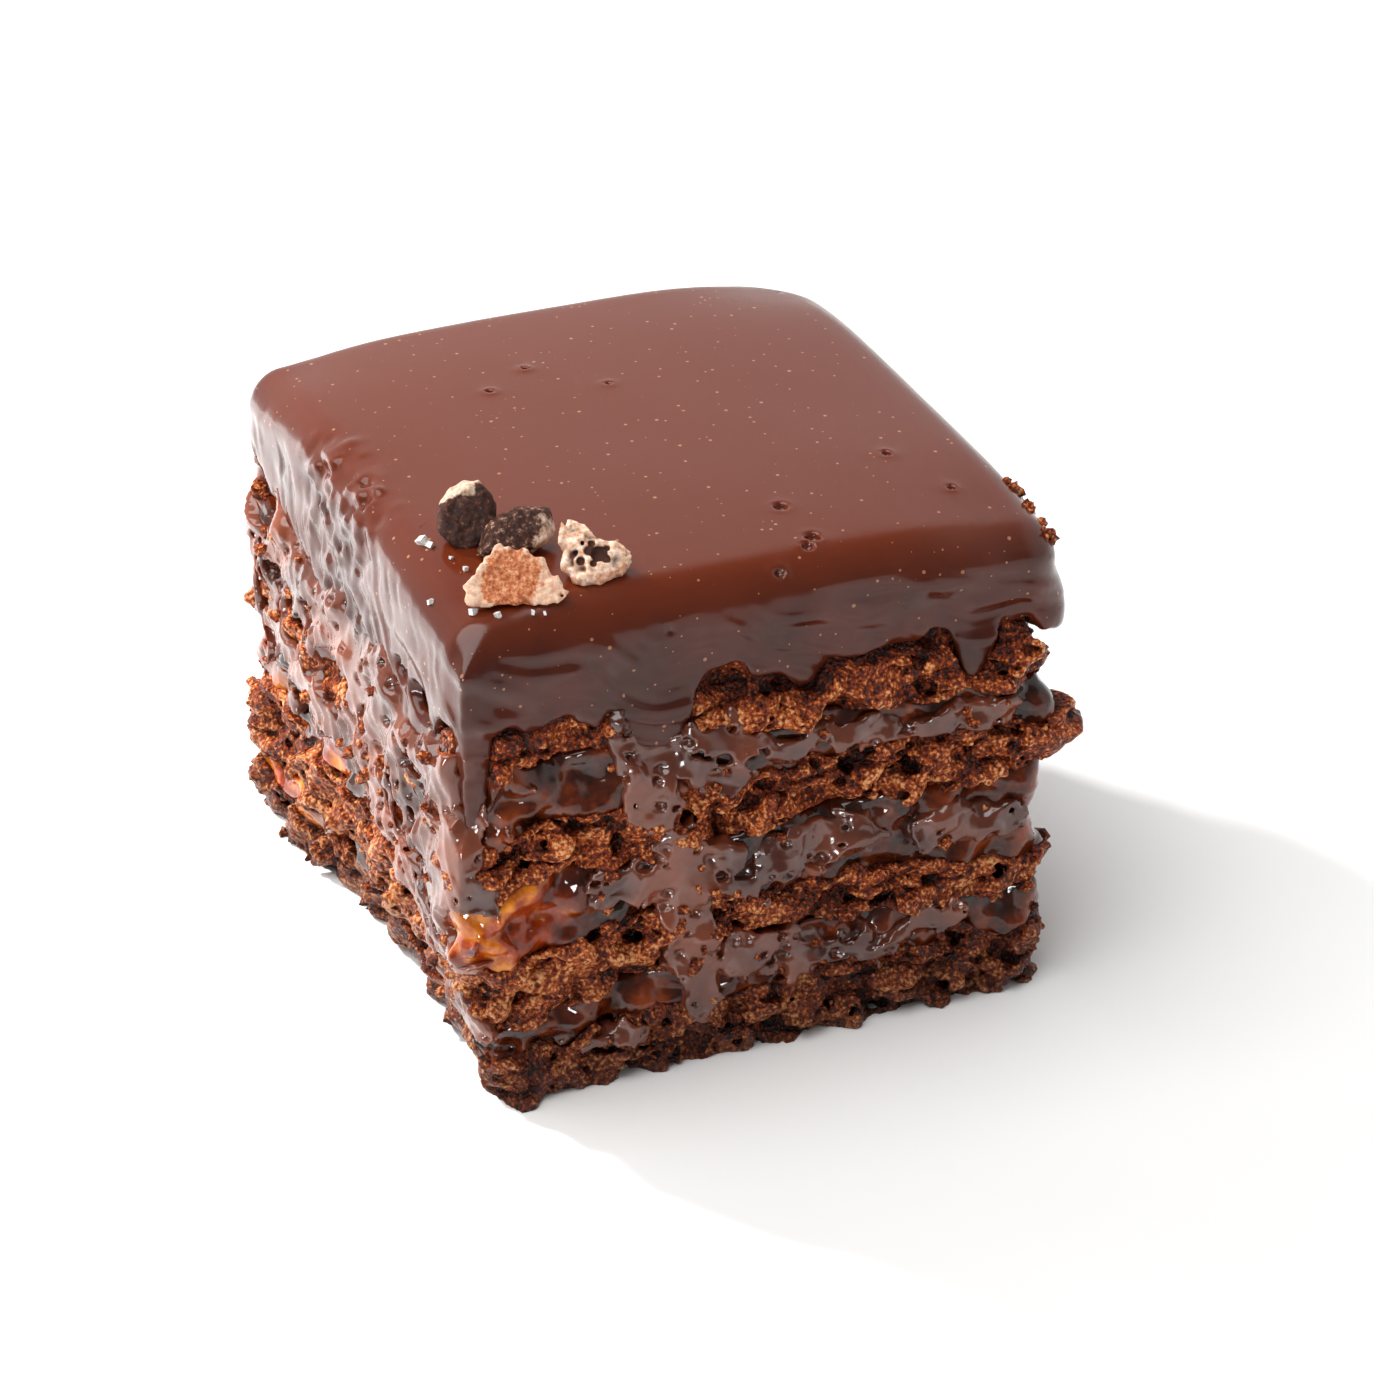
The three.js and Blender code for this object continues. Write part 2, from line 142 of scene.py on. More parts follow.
# %% [markdown]
# Value noise is the simplest smooth unevenness: a random number at each point of a lattice, and an
# eased blend along one axis after the other in between. The lattice may be finer along one axis
# than another, which gives lumps that are long or flat.

# %% Noise
def noise(axes, step, seed):
    """Smooth random unevenness, about -2 to 2, with knobs as large as step (one size or x, y, z)."""
    steps = (step,) * 3 if np.isscalar(step) else step
    rng = np.random.default_rng(seed)
    counts = [int((LATTICE_END - LATTICE_START) / s) + 3 for s in steps]
    values = rng.standard_normal(counts).astype(np.float32)
    for axis, (places, s) in enumerate(zip(axes, steps)):
        at = (places - LATTICE_START) / s
        cell = at.astype(int)
        share = at - cell
        share = (share * share * (3 - 2 * share)).reshape([-1 if k == axis else 1 for k in range(3)])
        here, after = values.take(cell, axis=axis), values.take(cell + 1, axis=axis)
        values = here + (after - here) * share.astype(np.float32)
    return values


print("lattices reach from", LATTICE_START, "to", LATTICE_END, "mm")

# %% [markdown]
# A few curves shape everything else: a soft step, a bell round a place, a bell with a flat top, a
# blend, and the larger of two fields, rounded where they meet. The larger of two fields is the
# space that is inside both, so it is also how one form is cut with another.

# %% Curves
def smoothstep(value, low, high):
    share = np.clip((value - low) / (high - low), 0, 1)
    return share * share * (3 - 2 * share)


def bell(distance, radius):
    return np.exp(-((distance / radius) ** 2))


def blunt(distance, radius):
    return np.exp(-((distance / radius) ** 4))


def mix(a, b, share):
    return a + (b - a) * share


def smooth_max(a, b, width):
    gap = np.clip(0.5 + 0.5 * (a - b) / width, 0, 1)
    return b + (a - b) * gap + width * gap * (1 - gap)


print("half way up a soft step:", float(smoothstep(0.5, 0, 1)))

# %% [markdown]
# A surface's points rarely fall on the grid's. So a field is read between its points from the eight
# round each place, and its slope there tells which way is out of the food.

# %% Reading a field
def sample(values, axes, points):
    """Values of a grid between its points."""
    voxel = axes[0][1] - axes[0][0]
    at = [(points[:, k] - axes[k][0]) / voxel for k in range(3)]
    cells = [np.clip(a.astype(int), 0, len(axes[k]) - 2) for k, a in enumerate(at)]
    shares = [np.clip(a - c, 0, 1) for a, c in zip(at, cells)]
    total = np.zeros(len(points), np.float32)
    for corner in range(8):
        bits = [(corner >> k) & 1 for k in range(3)]
        weight = np.ones(len(points), np.float32)
        for k, bit in enumerate(bits):
            weight = weight * (shares[k] if bit else 1 - shares[k])
        total += weight * values[cells[0] + bits[0], cells[1] + bits[1], cells[2] + bits[2]]
    return total


def slope(values, axes, points):
    """Direction in which the field rises at each point."""
    reach = axes[0][1] - axes[0][0]
    rise = np.zeros_like(points)
    for k in range(3):
        step = np.zeros(3, np.float32)
        step[k] = reach
        rise[:, k] = sample(values, axes, points + step) - sample(values, axes, points - step)
    return rise / (2 * reach)


ramp_axes = grid_axes((0, 0, 0), (2, 2, 2), 1.0)
ramp = ramp_axes[0][:, None, None] * np.ones((3, 3, 3), np.float32)
print("slope of a plain ramp:", slope(ramp, ramp_axes, np.ones((1, 3), np.float32)))

# %% [markdown]
# A field with many bubbles also has loose scraps that would float in the air. They are found by
# spreading the lowest point number over each connected part, and dropped.

# %% Surfaces
def keep_large_parts(points, faces, least):
    """Drops loose scraps: parts of a surface with fewer than least points."""
    label = np.arange(len(points))
    pairs = np.concatenate([f[:, [k, (k + 1) % f.shape[1]]] for f in faces for k in range(f.shape[1])])
    while True:
        before = label.copy()
        lower = np.minimum(label[pairs[:, 0]], label[pairs[:, 1]])
        np.minimum.at(label, pairs[:, 0], lower)
        np.minimum.at(label, pairs[:, 1], lower)
        label = label[label]
        if np.array_equal(before, label):
            break
    sizes = np.bincount(label, minlength=len(points))
    keep = sizes[label] >= least
    renumber = np.cumsum(keep) - 1
    return points[keep], [renumber[f[keep[f[:, 0]]]] for f in faces]


def surface_points(values, axes, adaptivity=0.0, least=300):
    """Points and faces (triangles, then quads) of the zero surface, in millimetres."""
    voxel = float(axes[0][1] - axes[0][0])
    band = 4 * voxel
    grid = openvdb.FloatGrid(band)
    grid.copyFromArray(np.clip(values, -band, band).astype(np.float32))
    points, triangles, quads = grid.convertToPolygons(0.0, adaptivity)
    points = points * voxel + np.array([a[0] for a in axes])
    points, faces = keep_large_parts(points, [triangles, quads], least)
    return points.astype(np.float32), faces


print("surfaces come from OpenVDB, in triangles and quads")

# %% [markdown]
# The points and faces become a mesh through foreach_set, which takes whole arrays: a hundred
# thousand points would take minutes one at a time. Extra numbers, such as how deep a point lies in
# the crumb, are stored on the points, where a material can read them.

# %% Meshes
def make_piece(name, points, faces):
    """A smooth-shaded mesh object from points in millimetres."""
    mesh = bpy.data.meshes.new(name)
    corners = np.concatenate([f.ravel() for f in faces]).astype(np.int32)
    sizes = np.concatenate([np.full(len(f), f.shape[1]) for f in faces])
    starts = np.concatenate([[0], np.cumsum(sizes)[:-1]]).astype(np.int32)
    mesh.vertices.add(len(points))
    mesh.vertices.foreach_set("co", ((points + BLOCK_MIDDLE) * MM).astype(np.float32).ravel())
    mesh.loops.add(len(corners))
    mesh.loops.foreach_set("vertex_index", corners)
    mesh.polygons.add(len(sizes))
    mesh.polygons.foreach_set("loop_start", starts)
    mesh.update(calc_edges=True)
    mesh.validate()
    mesh.polygons.foreach_set("use_smooth", np.ones(len(mesh.polygons), bool))
    piece = bpy.data.objects.new(name, mesh)
    bpy.context.collection.objects.link(piece)
    triangles = int((sizes - 2).sum())
    print(f"{name}: {len(points)} points, {triangles} triangles")
    return piece


def faces_out(values, axes, points, faces):
    """Turns the faces so that they look up the field's slope, out of the food."""
    for group, f in enumerate(faces):
        if len(f) == 0:
            continue
        corner = points[f[:, :3]]
        across = np.cross(corner[:, 1] - corner[:, 0], corner[:, 2] - corner[:, 0])
        rise = slope(values, axes, corner.mean(axis=1))
        if (across * rise).sum() < 0:
            faces[group] = f[:, ::-1]
    return faces


def store(piece, name, values):
    """Keeps one number for each point of a piece, for its material to read."""
    kept = piece.data.attributes.new(name, "FLOAT", "POINT")
    kept.data.foreach_set("value", np.asarray(values, np.float32).ravel())


def draw_surface(name, values, axes, extra=None, adaptivity=0.0, settle=False, least=300):
    """Makes a piece of a field. settle slides each point onto the true surface, and extra is a
    second field that is kept at the points as their relief."""
    points, faces = surface_points(values, axes, adaptivity, least)
    faces = faces_out(values, axes, points, faces)
    if settle:
        for _ in range(2):
            rise = slope(values, axes, points)
            steep = np.maximum((rise ** 2).sum(axis=1), 0.2)
            points = points - rise * (sample(values, axes, points) / steep)[:, None]
    piece = make_piece(name, points, faces)
    if extra is not None:
        store(piece, "relief", sample(extra, axes, points))
    return piece


print("pieces are made in millimetres round", BLOCK_MIDDLE, "and scaled to metres")

# %% [markdown]
# ## The form of the cut block
# Distances to the rounded outline are found once, seen from above, with the nearest point of the
# outline. The joins, the crags, the bulges and the glaze's edge all depend on that nearest point.

# %% Form helpers
def outline_distance(x, y, corners, overhang=0.0):
    """Distance outside a rounded rectangle, its nearest point and the direction out of it."""
    middle = overhang / 2
    half_x, half_y = WIDTH / 2 + overhang / 2, DEPTH / 2
    from_middle = x - middle
    right, back = from_middle > 0, y > 0
    radius = np.where(right, np.where(back, corners["back_right"], corners["front_right"]),
                      np.where(back, corners["back_left"], corners["front_left"]))
    past_x = np.abs(from_middle) - half_x + radius
    past_y = np.abs(y) - half_y + radius
    beyond = np.hypot(np.maximum(past_x, 0), np.maximum(past_y, 0))
    distance = np.minimum(np.maximum(past_x, past_y), 0) + beyond - radius
    at_corner = (past_x > 0) & (past_y > 0)
    flat_x = (past_x > past_y) & ~at_corner
    out_x = np.where(at_corner, past_x / np.maximum(beyond, 1e-6), flat_x) * np.sign(from_middle)
    out_y = np.where(at_corner, past_y / np.maximum(beyond, 1e-6), ~flat_x) * np.sign(y)
    return distance, x - out_x * distance, y - out_y * distance, out_x, out_y


middle_depth = outline_distance(np.float32(0), np.float32(0), CUT_CORNERS)[0]
print("the middle is", round(-float(middle_depth), 1), "mm inside the outline")

# %% [markdown]
# Inside the cake the joins are level, and towards the sides they take on the tilt, sag and waves
# that show. The crags and the glaze's lower edge are formulas too, the same as the model's.

# %% Joins, crags and the glaze's edge
def join_height(join, x, y):
    middle, tilt, bow = JOINS[join]
    reach = x / JOIN_REACH
    phase = 2 * math.pi / JOIN_WAVELENGTH
    wave = JOIN_WAVE * np.sin(phase * (x + middle)) * np.cos(phase * (y - middle))
    return middle + tilt * reach + bow * reach * reach + wave


def join_surface(join, x, y, near_x, near_y):
    share = np.hypot(x, y) / np.hypot(near_x, near_y)
    return mix(JOINS[join][0], join_height(join, near_x, near_y), share)


def crag(x, y, z):
    first = np.sin(0.9 * x + 1.7 * z + 0.5 * y)
    second = np.sin(-1.2 * x + 1.3 * z + 1.6 * y + 2)
    third = np.sin(1.7 * x - 0.8 * z - 1.1 * y + 4.1)
    return (first + second + third) / 2.4


def glaze_edge(x, y):
    height = np.full_like(x, GLAZE_EDGE)
    for at_x, at_y, drop, width in DRIPS:
        height = height - drop * blunt(np.hypot(x - at_x, y - at_y), width)
    return height


def form_push(x, y, z):
    """Bulges and hollows of the sides."""
    push = np.zeros(np.broadcast_shapes(x.shape, z.shape), np.float32)
    z_all = z.ravel()
    for at_x, at_y, at_z, radius, height in SIDE_FORMS:
        near = np.abs(z_all - at_z) < 2.6 * radius
        if near.any():
            near_x = x[..., near] if x.shape[-1] > 1 else x
            near_y = y[..., near] if y.shape[-1] > 1 else y
            away = (near_x - at_x) ** 2 + (near_y - at_y) ** 2 + (z[..., near] - at_z) ** 2
            push[..., near] += height * np.exp(-away / radius ** 2)
    return push


print("the joins lie at", [join[0] for join in JOINS], "mm")

# %% [markdown]
# The left foot leans in, so a point there is measured on the upright block that it came from. All
# the distances over a grid are kept together, since each layer starts from them.

# %% The sides over a grid
def unlean(x, y, z):
    """Undoes the left side's lean, so that a leaning point is measured on the upright block."""
    front = 1 - smoothstep(y, LEAN_FRONT_Y, LEAN_BACK_Y)
    depth = LEAN_DEPTH * front * np.maximum(1 - z / LEAN_HEIGHT, 0) ** 2
    return np.where(x < 0, x / (1 - depth / (WIDTH / 2)), x)


CORNER_CRISPNESS, CORNER_START = 0.75, (36.5, 32.5)  # 1 is a square corner; heights in mm


def corner_ridge(out_x, out_y, z, radius):
    """Squares up the rounded front left corner, where the runs gathered into a crisp edge."""
    at_corner = (out_x < 0) & (out_y < 0)
    square = radius * (1 / np.maximum(np.maximum(np.abs(out_x), np.abs(out_y)), 0.707) - 1)
    return at_corner * CORNER_CRISPNESS * square * smoothstep(z, *CORNER_START)


class Sides:
    """The cut block's distances over a grid, shared by the pieces that need them."""

    def __init__(self, axes):
        self.axes = axes
        self.x, self.y = (a[..., None] for a in np.meshgrid(axes[0], axes[1], indexing="ij"))
        self.z = axes[2][None, None, :]
        leaning = axes[2][0] < LEAN_HEIGHT
        upright_x = unlean(self.x, self.y, self.z) if leaning else self.x
        self.out, self.near_x, self.near_y, self.out_x, self.out_y = outline_distance(
            upright_x, self.y, CUT_CORNERS)
        self.edge = glaze_edge(self.near_x, self.near_y)


print("the left foot leans in by", LEAN_DEPTH, "mm")

# %% [markdown]
# ## Sponge
# Cut sponge is a foam: bubbles of all sizes that a knife has torn open, with grains of crumb on
# the ledges between them. Scattered spheres are taken out of the field near the sides for the
# bubbles, and small ones are added where the surface runs for the grains. Bubbles are flattened
# a little, because the batter rose and settled. Deep inside there are none, as they never show.

# %% Bubbles and grains
BUBBLE_SEED, GRAIN_SEED = 11, 12
BUBBLE_KINDS = [  # how many, smallest and largest radius in mm, deepest centre behind the side
    (420, 0.7, 1.2, 1.3),
    (3000, 0.34, 0.7, 1.4),
]
BIG_HOLES = [  # x, y, z, radius of the largest torn bubbles that show
    (-20.6, 18.8, 26.6, 2.2), (-20.4, -10.5, 27.2, 1.4), (-2.6, -22.2, 28.2, 1.7),
    (-13.0, -22.6, 26.2, 1.4), (0.6, -22.4, 27.6, 1.0), (20.8, 8, 26.5, 1.3), (5, 22.3, 27, 1.5),
]
FOOT_OF_BUBBLES, TOP_OF_BUBBLES = 0.2, 33
JUST_OUTSIDE = -0.3  # mm behind the side, for the bubbles that the knife cut almost away


def place_round(rng, count, inside, outside):
    """Random points in a band along the four sides, given as a mm depth range behind the side."""
    lengths = np.array([WIDTH, DEPTH, WIDTH, DEPTH])
    ends = np.cumsum(lengths)
    along = rng.random(count) * ends[-1]
    side = np.searchsorted(ends, along)
    on = along - ends[side] + lengths[side] / 2
    half = np.array([DEPTH / 2, WIDTH / 2, DEPTH / 2, WIDTH / 2])[side]
    half = half - rng.uniform(outside, inside, count)
    turn = side * (math.pi / 2)
    x = np.sin(turn) * half + np.cos(turn) * on
    y = -np.cos(turn) * half + np.sin(turn) * on
    return x, y, rng.uniform(FOOT_OF_BUBBLES, TOP_OF_BUBBLES, count)


def make_bubbles():
    """Rows of x, y, z and radius. Most bubbles are near the smallest radius of their kind."""
    rng = np.random.default_rng(BUBBLE_SEED)
    rows = []
    for count, smallest, largest, deepest in BUBBLE_KINDS:
        radius = smallest + (largest - smallest) * rng.random(count) ** 2
        rows.append(np.column_stack([*place_round(rng, count, deepest, JUST_OUTSIDE), radius]))
    return np.concatenate([*rows, BIG_HOLES])


BUBBLES = make_bubbles()
print(len(BUBBLES), "bubbles near the sides")

# %% [markdown]
# Thousands of balls would be slow to add to a whole grid each. So each is worked out only in a
# small window round it, and joined to the field there: carving takes it away, adding puts it on.

# %% Stamping balls into a field
GRAIN_TRIES, GRAIN_SMALL, GRAIN_LARGE = 80000, 0.2, 0.36
PORE_TRIES, PORE_SMALL, PORE_LARGE = 45000, 0.2, 0.34
BALLS_INSIDE, BALLS_OUTSIDE = 1.5, -1.4  # mm behind the side


def stamp(values, axes, balls, join, flatness):
    """Joins balls (x, y, z, radius) to a field, one small window of the grid at a time."""
    voxel = axes[0][1] - axes[0][0]
    for x, y, z, radius in balls:
        reach = radius + 2 * voxel
        window = []
        for k, centre in enumerate((x, y, z)):
            low = max(int((centre - reach - axes[k][0]) / voxel), 0)
            high = max(min(int((centre + reach - axes[k][0]) / voxel) + 2, len(axes[k])), 0)
            window.append(slice(low, high))
        ax, ay, az = (axes[k][w] for k, w in enumerate(window))
        away = np.sqrt((ax[:, None, None] - x) ** 2 + (ay[None, :, None] - y) ** 2
                       + ((az[None, None, :] - z) * flatness) ** 2)
        part = values[tuple(window)]
        join(part, radius - away, out=part)


def carve(part, ball, out):
    np.maximum(part, ball, out=out)


def add(part, ball, out):
    np.minimum(part, -ball, out=out)


def balls_on_surface(values, axes, seed, tries, smallest, largest, lowest, highest):
    """Balls whose centres lie where the field is between lowest and highest."""
    rng = np.random.default_rng(seed)
    x, y, z = place_round(rng, tries, BALLS_INSIDE, BALLS_OUTSIDE)
    radius = smallest + (largest - smallest) * rng.random(tries) ** 1.5
    here = (z > axes[2][0] + 0.5) & (z < axes[2][-1] - 0.5)
    balls = np.column_stack([x, y, z, radius])[here].astype(np.float32)
    level = sample(values, axes, balls[:, :3])
    return balls[(level > lowest) & (level < highest)]


print(GRAIN_TRIES, "grains and", PORE_TRIES, "pores are tried, and the ones on the surface stay")

# %% [markdown]
# The crumb also gets crevices: thin, long and nearly level, where the sponge has torn along its
# own layers. They run where a smooth noise crosses zero. The flat tops and undersides stay plain
# inside the cake, where they are hidden.

# %% Sponge layers
SPONGE_VOXEL = 0.21
LEDGE_DEPTH, KNOB_DEPTH, GRAIN_DEPTH, CREVICE_DEPTH, CREVICE_WIDTH = 0.22, 0.17, 0.08, 0.8, 0.3
LEDGE_SIZE, KNOB_SIZE, GRAIN_SIZE, CREVICE_SIZE = (2.8, 2.8, 0.9), 0.8, 0.45, (3.6, 3.6, 1.5)
JOIN_ROUGHNESS = 0.4
SKIN = -1.5, -0.5  # the joins are rough between these depths and the side, and plain behind them
BUBBLE_FLATNESS, GRAIN_FLATNESS, PORE_FLATNESS = 1.4, 1.15, 1.3


def crumb_relief(axes):
    ledges = noise(axes, LEDGE_SIZE, 21) * LEDGE_DEPTH
    knobs = noise(axes, KNOB_SIZE, 22) * KNOB_DEPTH
    knobs = knobs + noise(axes, GRAIN_SIZE, 25) * GRAIN_DEPTH
    torn = np.abs(noise(axes, CREVICE_SIZE, 23)) / CREVICE_WIDTH
    return ledges + knobs - CREVICE_DEPTH * np.maximum(1 - torn, 0)


def sponge_field(name):
    """The crumb's field, its grid and the plain side, which tells how deep a point lies."""
    under, over = SPONGES[name]
    low = 0 if under is None else JOINS[under][0]
    z_low = low - (0.6 if under is None else 3.2)
    sides = Sides(cake_axes(z_low, JOINS[over][0] + 2.2, SPONGE_VOXEL))
    push = STAND_OUT["sponge"] + CRAG_DEPTH["sponge"] * crag(sides.near_x, sides.near_y, sides.z)
    push = push + form_push(sides.near_x, sides.near_y, sides.z)
    plain = (sides.out - push).astype(np.float32)
    push = push + crumb_relief(sides.axes)
    covered = smoothstep(sides.z, sides.edge - 1.2, sides.edge)
    side = sides.out - mix(push, -GLAZE_BED, covered)
    rugged = smoothstep(sides.out, *SKIN)
    wave = noise(sides.axes, (1.6, 1.6, 4.0), 24) * JOIN_ROUGHNESS * rugged
    near = sides.x, sides.y, sides.near_x, sides.near_y
    top = sides.z - (join_surface(over, *near) + wave)
    bottom = -sides.z if under is None else join_surface(under, *near) + wave - sides.z
    values = np.maximum(np.maximum(side, top), bottom).astype(np.float32)
    stamp(values, sides.axes, BUBBLES, carve, BUBBLE_FLATNESS)
    grains = balls_on_surface(values, sides.axes, GRAIN_SEED, GRAIN_TRIES, GRAIN_SMALL,
                              GRAIN_LARGE, -0.2, 0.06)
    stamp(values, sides.axes, grains, add, GRAIN_FLATNESS)
    pores = balls_on_surface(values, sides.axes, GRAIN_SEED + 1, PORE_TRIES, PORE_SMALL,
                             PORE_LARGE, -0.1, 0.1)
    stamp(values, sides.axes, pores, carve, PORE_FLATNESS)
    print(f"{name}: {len(grains)} grains, {len(pores)} pores")
    return np.maximum(values, -sides.z), sides.axes, plain


sponge_pieces = {}
for name in SPONGES:
    sponge_pieces[name] = draw_surface(name + "_crumb", *sponge_field(name), adaptivity=0.2)

# %% [markdown]
# ## Jam
# The jam is a wet gel. It fills the gap between two sponges, swells out of it in smooth bulges
# where the cake was pressed, and shines. Its surface is the block's side with broad soft lumps
# and no grain, and it reaches a little under the crumb of both neighbours.

# %% Jam layers
JAM_VOXEL = 0.26
JAM_SWELL, JAM_RIPPLE, JAM_BEADS = 0.26, 0.16, 0.42
BEADS_AT, BEADS_REACH = (-19, -22), 6.0  # x and y of the corner where the jam has beaded
JAM_SPREAD, JAM_ROUNDING = 0.5, 0.7


def jam_field(name):
    under, over = JAMS[name]
    sides = Sides(cake_axes(JOINS[under][0] - 3.4, JOINS[over][0] + 2.4, JAM_VOXEL))
    push = STAND_OUT["jam"] + CRAG_DEPTH["jam"] * crag(sides.near_x, sides.near_y, sides.z)
    push = push + form_push(sides.near_x, sides.near_y, sides.z)
    push = push + noise(sides.axes, (2.8, 2.8, 2.0), 31) * JAM_SWELL
    push = push + noise(sides.axes, (1.3, 1.3, 0.9), 32) * JAM_RIPPLE
    beads = bell(np.hypot(sides.near_x - BEADS_AT[0], sides.near_y - BEADS_AT[1]), BEADS_REACH)
    push = push + noise(sides.axes, 1.0, 33) * JAM_BEADS * beads
    covered = smoothstep(sides.z, sides.edge - 1.2, sides.edge)
    side = sides.out - mix(push, -GLAZE_BED, covered)
    rugged = smoothstep(sides.out, *SKIN)
    wave = noise(sides.axes, (1.6, 1.6, 4.0), 24) * JOIN_ROUGHNESS * rugged
    spread = JAM_SPREAD * rugged
    near = sides.x, sides.y, sides.near_x, sides.near_y
    top = sides.z - (join_surface(over, *near) + wave + spread)
    bottom = join_surface(under, *near) + wave - spread - sides.z
    values = smooth_max(side, smooth_max(top, bottom, 0.2), JAM_ROUNDING)
    return values.astype(np.float32), sides.axes


jam_pieces = {}
for name in JAMS:
    jam_pieces[name] = draw_surface(name + "_gel", *jam_field(name), adaptivity=0.02, settle=True)

# %% [markdown]
# ## Poured glaze
# The glaze was poured warm. It levels itself on top, rounds over the edges and then sets while it
# runs down the sides, so its lower edge wanders in fingers with a rounded lip. Its field is a
# rounded box, cut along that edge and hollowed out where the cake is.

# %% The glaze's top
TORN = [  # places where the glaze has torn open: x, y, z, radius
    (-21.6, 19.5, 27.2, 2.6), (-21.6, 16.3, 26.4, 1.8), (-21.6, -10.8, 27.6, 1.5),
    (-21.6, -14.6, 27.2, 2.1), (-21.8, -20, 27.5, 1.5), (-13.6, -23, 27.6, 1.3),
    (-2.4, -23, 28.6, 1.9),
]
PITS = [  # burst bubbles on top: x, y, radius
    (4.3, -15.1, 0.5), (4.7, -19.4, 0.55), (4.0, -20.2, 0.4), (14.0, -10.6, 0.36),
    (16.3, -15.9, 0.34), (1.4, -21.6, 0.34), (-6.6, -22.6, 0.34), (-7.5, 8.0, 0.3),
    (-4.0, 10.5, 0.28), (0.5, 6.0, 0.26),
]
PIT_RIM, PIT_RIM_WIDTH, PIT_RIM_HEIGHT = 0.14, 0.3, 0.8


def crown_height(x, y):
    """The glaze's upper surface before its edges round over."""
    reach_x, reach_y = WIDTH / 2 - GLAZE_FILLET, DEPTH / 2 - GLAZE_FILLET
    share = ((np.abs(x) / reach_x) ** 4 + (np.abs(y) / reach_y) ** 4) ** 0.25
    corner = np.hypot(WIDTH / 2 - np.abs(x), DEPTH / 2 - np.abs(y))
    fall = CROWN_FALL * np.minimum(share, 1.15) ** 3 + CORNER_FALL * bell(corner, CORNER_REACH)
    return GLAZE_TOP - fall


def top_height(x, y):
    """Height of the glaze at one place, on the crown or on the rounded edge."""
    past_x = abs(x) - (WIDTH / 2 - GLAZE_FILLET)
    past_y = abs(y) - (DEPTH / 2 - GLAZE_FILLET)
    past_edge = max(past_x, past_y, 0)
    drop = GLAZE_FILLET - math.sqrt(max(GLAZE_FILLET ** 2 - past_edge ** 2, 0))
    return float(crown_height(np.float32(x), np.float32(y))) - drop


print("the glaze is", round(top_height(0, 0), 1), "mm high in the middle")

# %% [markdown]
# The sides carry the marks of the pouring: broad lumps, slanting streaks on the left where the
# glaze was drawn along, and flatter ones on the front, which also sinks back under the rounded
# edge. They are all small pushes in and out, so they add up to one number.

# %% How the glaze ran
GLAZE_LUMPS, GLAZE_FINE_LUMPS = 0.16, 0.07
FRONT_SINK, SINK_HEIGHTS = 0.55, (33.0, 29.5)
LEFT_STREAK, LEFT_FINE_STREAK, LEFT_STREAK_PACE = 0.06, 0.04, 2.9
FRONT_STREAK, FRONT_FINE_STREAK, FRONT_STREAK_PACE = 0.09, 0.05, 1.5
SOFTENING, SOFTENED_X, SOFTENED_HEIGHTS = 0.75, (-3.0, -16.0), (30.3, 34.6)


def glaze_flow(axes, z, near_x, near_y, out_x, out_y):
    leftward, frontward = np.maximum(-out_x, 0), np.maximum(-out_y, 0)
    flow = noise(axes, (6.0, 6.0, 1.6), 41) * GLAZE_LUMPS
    flow = flow + noise(axes, (2.4, 2.4, 1.4), 42) * GLAZE_FINE_LUMPS
    flow = flow - FRONT_SINK * smoothstep(z, *SINK_HEIGHTS) * frontward
    slant = LEFT_STREAK_PACE * (near_y - near_x - 0.45 * z) + 2.4 * noise(axes, 2.8, 48)
    streaks = LEFT_STREAK * np.sin(slant) + LEFT_FINE_STREAK * np.sin(1.9 * slant + 1.0)
    flow = flow + leftward * (0.6 + 0.5 * noise(axes, 2.2, 50)) * streaks
    drawn = FRONT_STREAK_PACE * (0.55 * near_x + 1.5 * z) + 2.2 * noise(axes, 4.5, 49)
    streaks = FRONT_STREAK * np.sin(drawn) + FRONT_FINE_STREAK * np.sin(2.3 * drawn + 2.0)
    flow = flow + frontward * smoothstep(z, 35.5, 32.0) * streaks
    return flow + corner_ridge(out_x, out_y, z, GLAZE_CORNERS["front_left"])


def near_corner_softening(z, near_x, out_y):
    """The front leans back towards the near corner, so that its deep red band is wider there."""
    softened = SOFTENING * np.maximum(-out_y, 0) * smoothstep(near_x, *SOFTENED_X)
    return softened * smoothstep(z, *SOFTENED_HEIGHTS)


print("streaks are up to", FRONT_STREAK, "mm deep")

# %% [markdown]
# The cap is then put together: a rounded box with those sides, cut off along the wandering edge
# with a rounded lip, hollowed out where the cake is, torn open at a few places and pitted by burst
# bubbles, each with a faint raised rim.

# %% The glaze cap
GLAZE_VOXEL = 0.26
GLAZE_WALL, LIP = 1.05, 0.8
EDGE_LOWERING = 0.3
FINGERS, FINE_FINGERS = 0.5, 0.14
RUGGED_X, RUGGED_Y, RUGGED_DEPTH = (-20.4, 1.7), (1.5, 6.5), 0.26  # a lumpy stretch on the left edge
TOP_SWELL, TOP_RIPPLE = 0.04, 0.008


